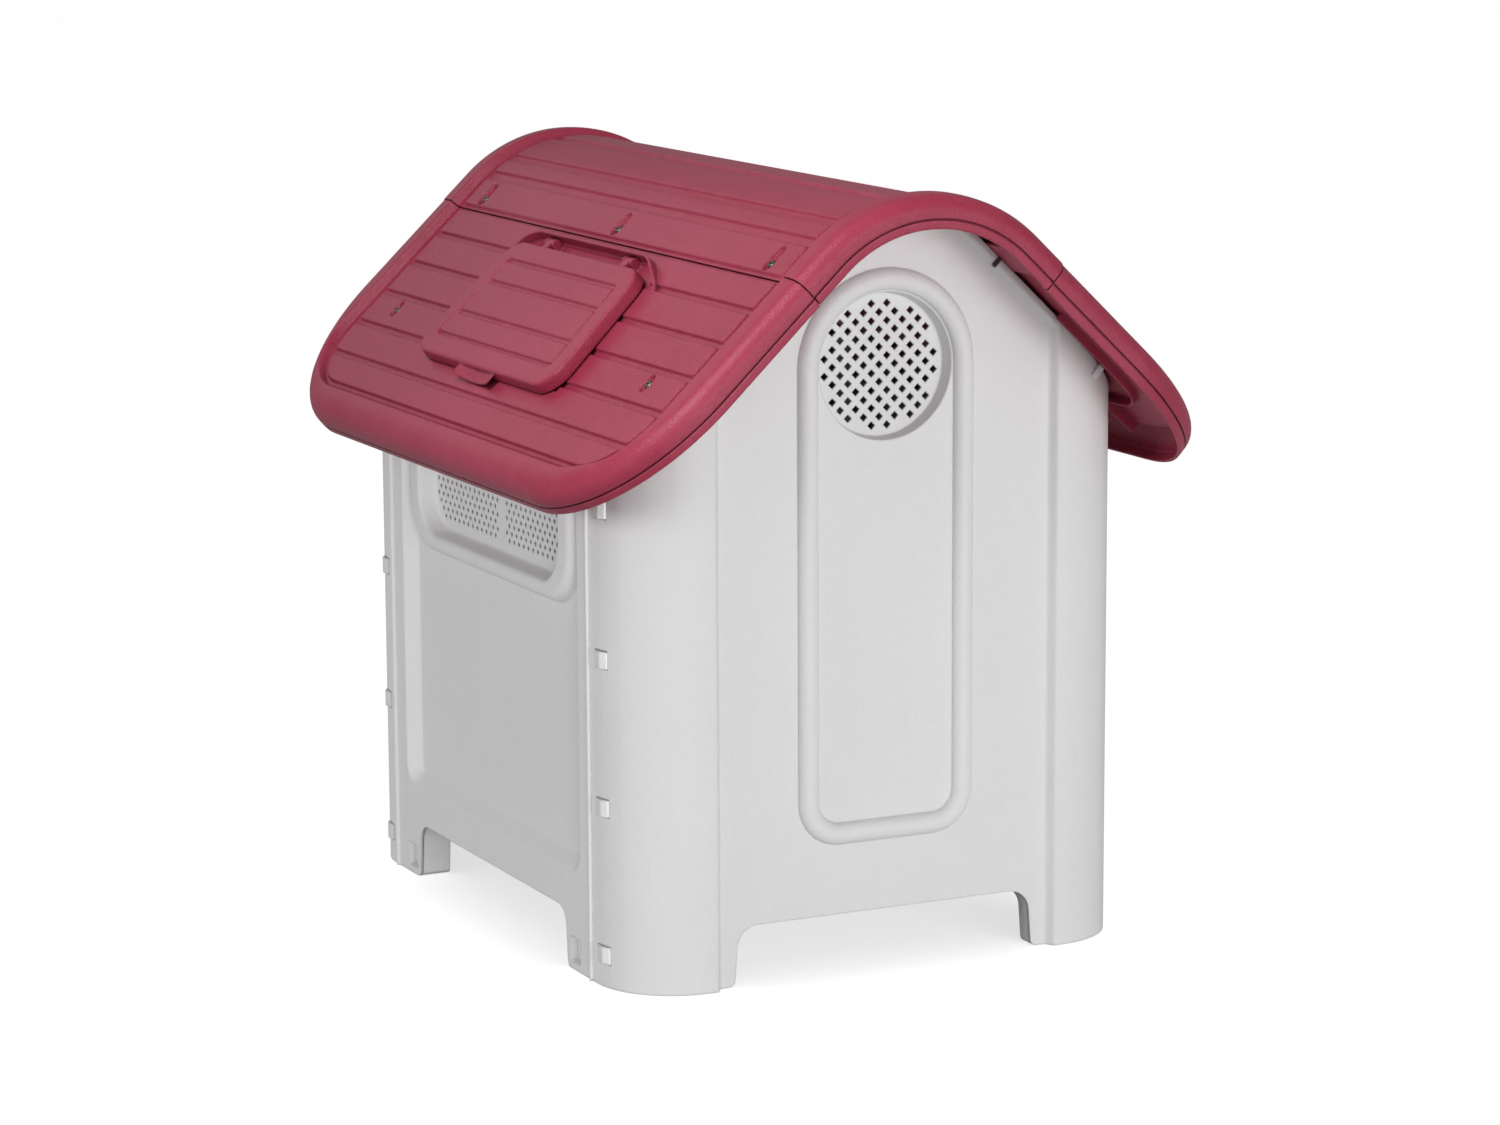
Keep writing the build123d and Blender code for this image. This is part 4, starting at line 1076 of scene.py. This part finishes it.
def gable_pos(along, z, inset):
    """Point of the wrapped gable on the +Y side; inset is measured in from the outer face."""
    side, along = np.where(along < 0, -1.0, 1.0), np.abs(along)
    turn = corner_turn(along)
    flat, corner = along < CORNER_START, along < CORNER_END
    x = np.where(flat, along, np.where(
        corner, CORNER_START + (CORNER_R - inset) * np.sin(turn), WALL_X - inset))
    y = np.where(flat, GABLE_Y - inset, np.where(
        corner, GABLE_Y - CORNER_R + (CORNER_R - inset) * np.cos(turn),
        GABLE_Y - CORNER_R - (along - CORNER_END)))
    return np.stack([side * x, y, z], 1)


def wall_top(along):
    along = abs(along)
    x = along if along < CORNER_START else CORNER_START + CORNER_R * np.sin(corner_turn(along))
    return float(roof_z(x if along < CORNER_END else WALL_X, WALL_DEPTH))


def gable_recess():
    """Sunk field, following the roof line above."""
    limit = APEX_Z * COS - RECESS_DEPTH
    planes = [(1, 0, 155.9), (-1, 0, 155.9), (0, -1, 100), (SIN, COS, limit), (-SIN, COS, limit)]
    pitch = math.degrees(math.atan(FALL))
    return Planes(planes + arc_planes(0, RIDGE_CZ, RIDGE_R - RECESS_DEPTH,
                                      90 - pitch, 90 + pitch, 26))


def make_gable(front):
    """Layout: x runs along the gable and its wrapped corners, y is the height."""
    sheet = Sheet()
    end = wrap_at(SEAM)
    gap = gap_path(140, 136.5, 50.5, 19, 6)
    stations = np.unique(np.concatenate([
        np.linspace(-end, end, 141), [-CORNER_END, -CORNER_START, CORNER_START, CORNER_END]]))
    top = [(x, wall_top(x)) for x in stations]
    outline = [(-end, 1.5), (-end + 1.5, 0.0)] + gap + [(end - 1.5, 0.0), (end, 1.5)] + top[::-1]
    sheet.loop(outline)
    sheet.grid(-end, end, 24, 0, 640, 30)
    for t in np.linspace(0, 1, 17):
        for sign in (1, -1):
            sheet.at_x(sign * (CORNER_START + (CORNER_END - CORNER_START) * t), -5, 640)
    recess = gable_recess()
    sheet.rings(recess, doubled(band(RECESS_ROLL)))
    holes = []
    for sign in (1, -1):
        for z in LUG_ZS:
            x = sign * wrap_at(239.2)
            window = rect(x - 9.6, x + 9.6, z - 7.75, z + 7.75, 0.8, 45)
            holes.append(window)
            sheet.loop(window.ring(0))
            sheet.rings(window, [0.9])
    if front:
        door_frame = arch(half=138, bottom=79, foot=30, centre_z=358)
        door = arch(half=122, bottom=95, foot=26, centre_z=358)
        sheet.rings(door_frame, band(*FRAME_ROLL))
        sheet.loop(door.ring(0))
        sheet.rings(door, DOOR_DIST[1:])
        holes.append(door)
    else:
        bead = arch(half=71.9, bottom=119.5, foot=29, centre_z=VENT_Z, steps=60, foot_steps=14)
        sheet.rings(bead, [BEAD_HALF * t for t in
                           [-1] + [-t for t in BEAD_STEPS] + [0] + BEAD_STEPS[::-1] + [1]])
        vent = Rounded([(0.0, VENT_Z)], 60.0, 5)
        sheet.rings(vent, band(*VENT_ROLL) + band(*VENT_INSIDE_ROLL))
        cells = [(i * VENT_PITCH, VENT_Z + j * VENT_PITCH)
                 for i in range(-9, 10) for j in range(-9, 10)
                 if (i + j) % 2 == 0 and math.hypot(i, j) * VENT_PITCH < 53.3]
        sheet.diamonds(cells, VENT_DIAMOND)

    def inside(points):
        kept = in_polygon(points, outline)
        for hole in holes:
            kept &= hole.dist(points) > 0
        if not front:
            near = np.hypot(points[:, 0], points[:, 1] - VENT_Z) < 62
            cut_diamonds(kept, near, points, cells, VENT_DIAMOND)
        return kept

    flat, faces = sheet.solve(inside)
    along, z = flat.T
    straight = np.abs(along) < CORNER_START
    dist = recess.dist(flat)
    outer = GABLE_RECESS * fall(dist, RECESS_ROLL) * straight
    inner = SHEET + GABLE_RECESS * fall(dist, RECESS_ROLL, SHEET) * straight
    if front:
        outer -= 7.0 * fall(door_frame.dist(flat), *FRAME_ROLL)
        outer += np.interp(door.dist(flat), DOOR_DIST, DOOR_DROP)
    else:
        dist = np.abs(bead.dist(flat))
        t = np.clip(dist / BEAD_HALF, 0, 1)
        outer -= 8.0 * (1 - t ** 2.3) ** 0.6 * (dist < BEAD_HALF + 1e-6)
        dist = vent.dist(flat)
        outer += 12.0 * fall(dist, *VENT_ROLL)
        inner += 12.0 * fall(dist, *VENT_INSIDE_ROLL)
    z = np.where(np.abs(z) < 1e-6, 0.0, z)
    parts = [shell(faces, gable_pos(along, z, outer), gable_pos(along, z, inner))]
    # flange the roof sits on
    rows = []
    for x in np.linspace(-195, 195, 55):
        z1, z0 = float(roof_z(x, 15.6)), float(roof_z(x, 18.5))
        rows.append([(x, 258, z0), (x, 286.2, z0), (x, 286.2, z1), (x, 258, z1)])
    parts.append(sweep(rows))
    parts.append(gap_lip(gap, lambda x, y, z: (x, y, z), near=272.0, far=287.6))
    # catch lugs high on the corner columns
    parts += [slope_box((292.3, 298.3), (286.5, 294.2), (16.5, 28.5), side, bevel=0.7, drop=0.0)
              for side in (1, -1)]
    if front:                                # mirrored to the -Y end
        parts = [(np.asarray(verts) * np.array([1, -1, 1]), *rest) for verts, *rest in parts]
    piece("front_wall" if front else "back_wall", parts, WALL)


# ------------------------------------------------------------------ side walls
SIDE_TOP = APEX_Z - WALL_X * FALL - WALL_DEPTH / COS - 1.0
SIDE_END = SEAM - 0.12
SIDE_RECESS, GRILLE_DEPTH = 11.0, 16.0
# each edge profile: distance from the outline, and the share of the full step there
RECESS_EDGE = ([-1.0, -0.2, 0.9, 2.2, 10.0, 11.4, 12.4, 13.4],
               [1.0, 0.985, 0.92, 0.82, 0.18, 0.07, 0.015, 0.0])
FRAME_EDGE = ([-10.5, -7.6, -5.4, -3.6, -2.2, -1.1, -0.4, 0.0, 0.8],
              [1.0, 0.965, 0.88, 0.755, 0.60, 0.42, 0.22, 0.08, 0.0])
GRILLE_EDGE = ([-1.2, -0.3, 0.5, 1.2, 3.4, 4.3, 5.4, 7.0],
               [1.0, 0.985, 0.93, 0.83, 0.26, 0.11, 0.03, 0.0])
# bead down each end: y, and height above the face
END_BEAD = ([SIDE_END - back for back in (4.2, 3.8, 3.2, 2.4, 1.6, 0.9, 0.4, 0.0)],
            [0, 0.9, 1.8, 2.5, 2.8, 2.7, 2.1, 0.2])
FOOT_ROLL, FOOT_INSIDE_ROLL = (0.5,), (0.5, 2.5)     # sunk panels at the feet
GRILLE_DIAMOND = 3.5 / math.sqrt(2)          # centre to corner of a grille hole
# (inward from the wall face, y) sections of the tongue behind the gable wrap and a snap lug
TONGUE = [(8.0, 212.9), (2.4, 212.9), (2.4, 218.9), (3.6, 218.9), (3.6, 228.0), (4.6, 238.0),
          (6.6, 246.0), (9.2, 246.0), (7.2, 238.0), (6.2, 228.0), (6.2, 218.9), (8.0, 218.9)]
SNAP_LUG = [(6.0, 230.2), (-0.5, 230.2), (-1.3, 236.0), (-1.7, 241.4), (1.6, 248.0), (8.0, 248.0)]


def grille_holes():
    """Staggered rows of (y, z) centres within a rounded field, left out at the middle."""
    pitch, row_pitch = 10.3, 6.4
    holes, row, z = [], 0, 331.0
    while z < 424.5:
        shift = 0.0 if row % 2 == 0 else 5.15
        for k in range(-16, 17):
            y = pitch * k + shift
            beyond = math.hypot(max(0.0, abs(y) - 116.0), max(0.0, abs(z - 377.0) - 17.0))
            if 9.0 <= abs(y) <= 144.5 and beyond < 29.0:
                holes.append((y, z))
        z += row_pitch
        row += 1
    return holes


def make_side(side, name):
    """Layout: x is the house's y, y is the height."""
    sheet = Sheet()
    gap = gap_path(167, 163, 50, 17, 6)
    outline = [(-SIDE_END, 1.2), (-SIDE_END + 1.2, 0)] + gap
    outline += [(SIDE_END - 1.2, 0), (SIDE_END, 1.2), (SIDE_END, SIDE_TOP), (-SIDE_END, SIDE_TOP)]
    sheet.loop(outline)
    sheet.grid(-SIDE_END, SIDE_END, 23, 0, SIDE_TOP, 27)
    recess = rect(-182, 182, 96, SIDE_TOP - 16, 8, 15)
    sheet.rings(recess, doubled(RECESS_EDGE[0]))
    surround = rect(-181, 181, 305, 446, 50, 6)
    sheet.rings(surround, doubled(FRAME_EDGE[0], -SHEET))
    grille = rect(-150, 150, 326, 428, 34, 6)
    sheet.rings(grille, doubled(GRILLE_EDGE[0]))
    for y in END_BEAD[0][:-1]:
        sheet.at_x(y, -5, 500)
        sheet.at_x(-y, -5, 500)
    feet = [rect(y - 10.2, y + 10.2, 6.5, 27.5, 0.8, 45) for y in (-182.5, 182.5)]
    for foot in feet:
        sheet.rings(foot, band(*FOOT_ROLL) + band(*FOOT_INSIDE_ROLL))
    holes = grille_holes()
    sheet.diamonds(holes, GRILLE_DIAMOND)

    def inside(points):
        kept = in_polygon(points, outline)
        y, z = points.T
        near = (np.abs(y) < 148) & (z > 326) & (z < 428)
        cut_diamonds(kept, near, points, holes, GRILLE_DIAMOND)
        return kept

    flat, faces = sheet.solve(inside)
    y, z = flat.T

    def inset(shift):
        depth = SIDE_RECESS * np.interp(recess.dist(flat) - shift, *RECESS_EDGE)
        depth = depth * (1 - np.interp(surround.dist(flat) + shift, *FRAME_EDGE))
        share = np.interp(grille.dist(flat) - shift, *GRILLE_EDGE)
        return depth + (GRILLE_DEPTH - depth) * share

    outer, inner = inset(0.0), inset(SHEET) + SHEET
    outer -= np.interp(np.abs(y), *END_BEAD)
    for foot in feet:
        outer += 6.5 * fall(foot.dist(flat), *FOOT_ROLL)
        inner += 6.5 * fall(foot.dist(flat), *FOOT_INSIDE_ROLL)
    z = np.where(np.abs(z) < 1e-6, 0.0, z)
    parts = [shell(faces, *(np.stack([side * (WALL_X - depth), y, z], 1)
                            for depth in (outer, inner)))]
    parts.append(gap_lip(gap, lambda y, x, z: (x, y, z),
                         near=side * (WALL_X - 29), far=side * (WALL_X - 2.4)))
    for sign in (1, -1):
        def at_height(section, z):
            return [(side * (WALL_X - back), sign * y, z) for back, y in section]
        parts.append(sweep([at_height(TONGUE, 1.0), at_height(TONGUE, SIDE_TOP - 1)]))
        for lug_z in LUG_ZS:
            parts.append(prism(at_height(SNAP_LUG, lug_z - 7.1),
                               at_height(SNAP_LUG, lug_z + 7.1), 0.45))
    piece(name, parts, WALL)


make_cap()
make_panel(1, hatch=True)
make_panel(-1, hatch=False)
make_lid()
make_gable(front=False)
make_gable(front=True)
make_side(1, "side_wall_hatch_side")
make_side(-1, "side_wall_plain_side")


# ------------------------------------------------------------------ stage (metres)
def make_stage_floor(half=14, z=-0.0004):
    me = bpy.data.meshes.new("floor_sheet")
    me.from_pydata([(-half, -half, z), (half, -half, z), (half, half, z), (-half, half, z)],
                   [], [(0, 1, 2, 3)])
    me.update()
    ob = bpy.data.objects.new("floor_sheet", me)
    scene.collection.objects.link(ob)
    net = Net(bpy.data.materials.new("floor_pale"))
    place = net.add("ShaderNodeTexCoord").outputs["Object"]
    mottle = net.noise(place, scale=40.0, detail=4.0)
    colour = net.mix(mottle, srgb(246, 246, 246), srgb(250, 250, 250))
    matt = net.add("ShaderNodeBsdfPrincipled", {
        "Base Color": colour, "Roughness": 0.8, "Specular IOR Level": 0.2}).outputs[0]
    # the floor glows for the camera only
    glow = net.add("ShaderNodeEmission", {"Color": WHITE, "Strength": 0.7})
    seen = net.add("ShaderNodeLightPath").outputs["Is Camera Ray"]
    lifted = net.add("ShaderNodeAddShader", {0: matt, 1: glow.outputs[0]})
    pick = net.add("ShaderNodeMixShader", {0: seen, 1: matt, 2: lifted.outputs[0]})
    net.add("ShaderNodeOutputMaterial", {"Surface": pick.outputs[0]})
    me.materials.append(net.owner)


def make_world():
    """White world: dim as a light, bright to the camera."""
    net = Net(bpy.data.worlds.new("studio"))
    scene.world = net.owner
    seen = net.add("ShaderNodeLightPath").outputs["Is Camera Ray"]
    dim = net.add("ShaderNodeBackground", {"Color": WHITE, "Strength": 0.31})
    bright = net.add("ShaderNodeBackground", {"Color": WHITE, "Strength": 1.25})
    pick = net.add("ShaderNodeMixShader", {0: seen, 1: dim.outputs[0], 2: bright.outputs[0]})
    net.add("ShaderNodeOutputWorld", {0: pick.outputs[0]})


make_stage_floor()
make_world()


def area(name, loc, target, size, power, only=()):
    """Area light; with only, it reaches just the pieces whose names start so."""
    light = bpy.data.lights.new(name, "AREA")
    light.shape = "RECTANGLE"
    light.size, light.size_y = size
    light.energy = power
    ob = bpy.data.objects.new(name, light)
    scene.collection.objects.link(ob)
    ob.location = loc
    ob.rotation_mode = "QUATERNION"
    ob.rotation_quaternion = (Vector(target) - Vector(loc)).to_track_quat("-Z", "Y")
    if only:
        lit = bpy.data.collections.new(name + "_lit")
        for piece_ob in scene.objects:
            if piece_ob.type == "MESH" and piece_ob.name.startswith(only):
                lit.objects.link(piece_ob)
        ob.light_linking.receiver_collection = lit


GABLES = ("back_wall", "front_wall", "floor_panel")
SIDES = ("side_wall",)
ROOFS = ("ridge_cap", "roof_panel", "hatch_lid")
DOOR_SIDE = ("front_wall", "side_wall_plain_side", "roof_panel_plain_side", "floor_panel")

# from beyond the back wall (+Y)
area("key", loc=(-0.5, 3.9, 0.6), target=(0, 0.2, 0.35), size=(2.2, 1.2), power=49)
area("front", loc=(-0.4, 3.7, 0.25), target=(0, 0.2, 0.4), size=(1.8, 0.5), power=27,
     only=GABLES + SIDES)
# from the hatch side (+X)
area("fill", loc=(3.6, 1.1, 0.8), target=(0.1, 0.1, 0.3), size=(2.0, 1.6), power=6)
area("side", loc=(3.5, 0.3, 1.0), target=(0.1, 0.1, 0.3), size=(1.6, 1.2), power=43, only=GABLES)
area("side_flat", loc=(3.5, 0.3, 1.0), target=(0.1, 0.1, 0.3), size=(1.6, 1.2), power=31,
     only=SIDES)
area("side_edge", loc=(1.3, 3.7, 0.5), target=(0.2, 0.1, 0.3), size=(1.0, 0.6), power=46,
     only=SIDES)
area("top", loc=(1.0, 0.7, 1.4), target=(0.2, 0.22, 0.5), size=(0.5, 0.5), power=12.5, only=ROOFS)
# from beyond the doorway (-Y)
area("door", loc=(-1.7, -3.3, 1.1), target=(0, -0.2, 0.35), size=(2.0, 1.4), power=50,
     only=DOOR_SIDE)
area("rim", loc=(0.7, -2.5, 1.9), target=(0.15, 0, 0.5), size=(1.4, 0.9), power=3)


def make_camera(loc, yaw, pitch, roll, lens):
    """Camera looking towards -Y, turned by yaw and down by pitch (radians)."""
    cam = bpy.data.cameras.new("cam")
    ob = bpy.data.objects.new("camera", cam)
    scene.collection.objects.link(ob)
    ahead = Vector((math.sin(yaw) * math.cos(pitch), -math.cos(yaw) * math.cos(pitch),
                    -math.sin(pitch)))
    right = ahead.cross(Vector((0, 0, 1))).normalized()
    up = right.cross(ahead)
    cos, sin = math.cos(roll), math.sin(roll)
    axes = Matrix((cos * right + sin * up, -sin * right + cos * up, -ahead)).transposed()
    ob.matrix_world = Matrix.Translation(loc) @ axes.to_4x4()
    cam.sensor_width = 36.0
    cam.lens = lens
    cam.clip_start = 0.05
    cam.clip_end = 60
    scene.camera = ob


make_camera(loc=(1.656593, 3.437229, 0.999352), yaw=-0.453, pitch=0.182, roll=-0.005,
            lens=105.146544)
scene.view_settings.view_transform = "Standard"
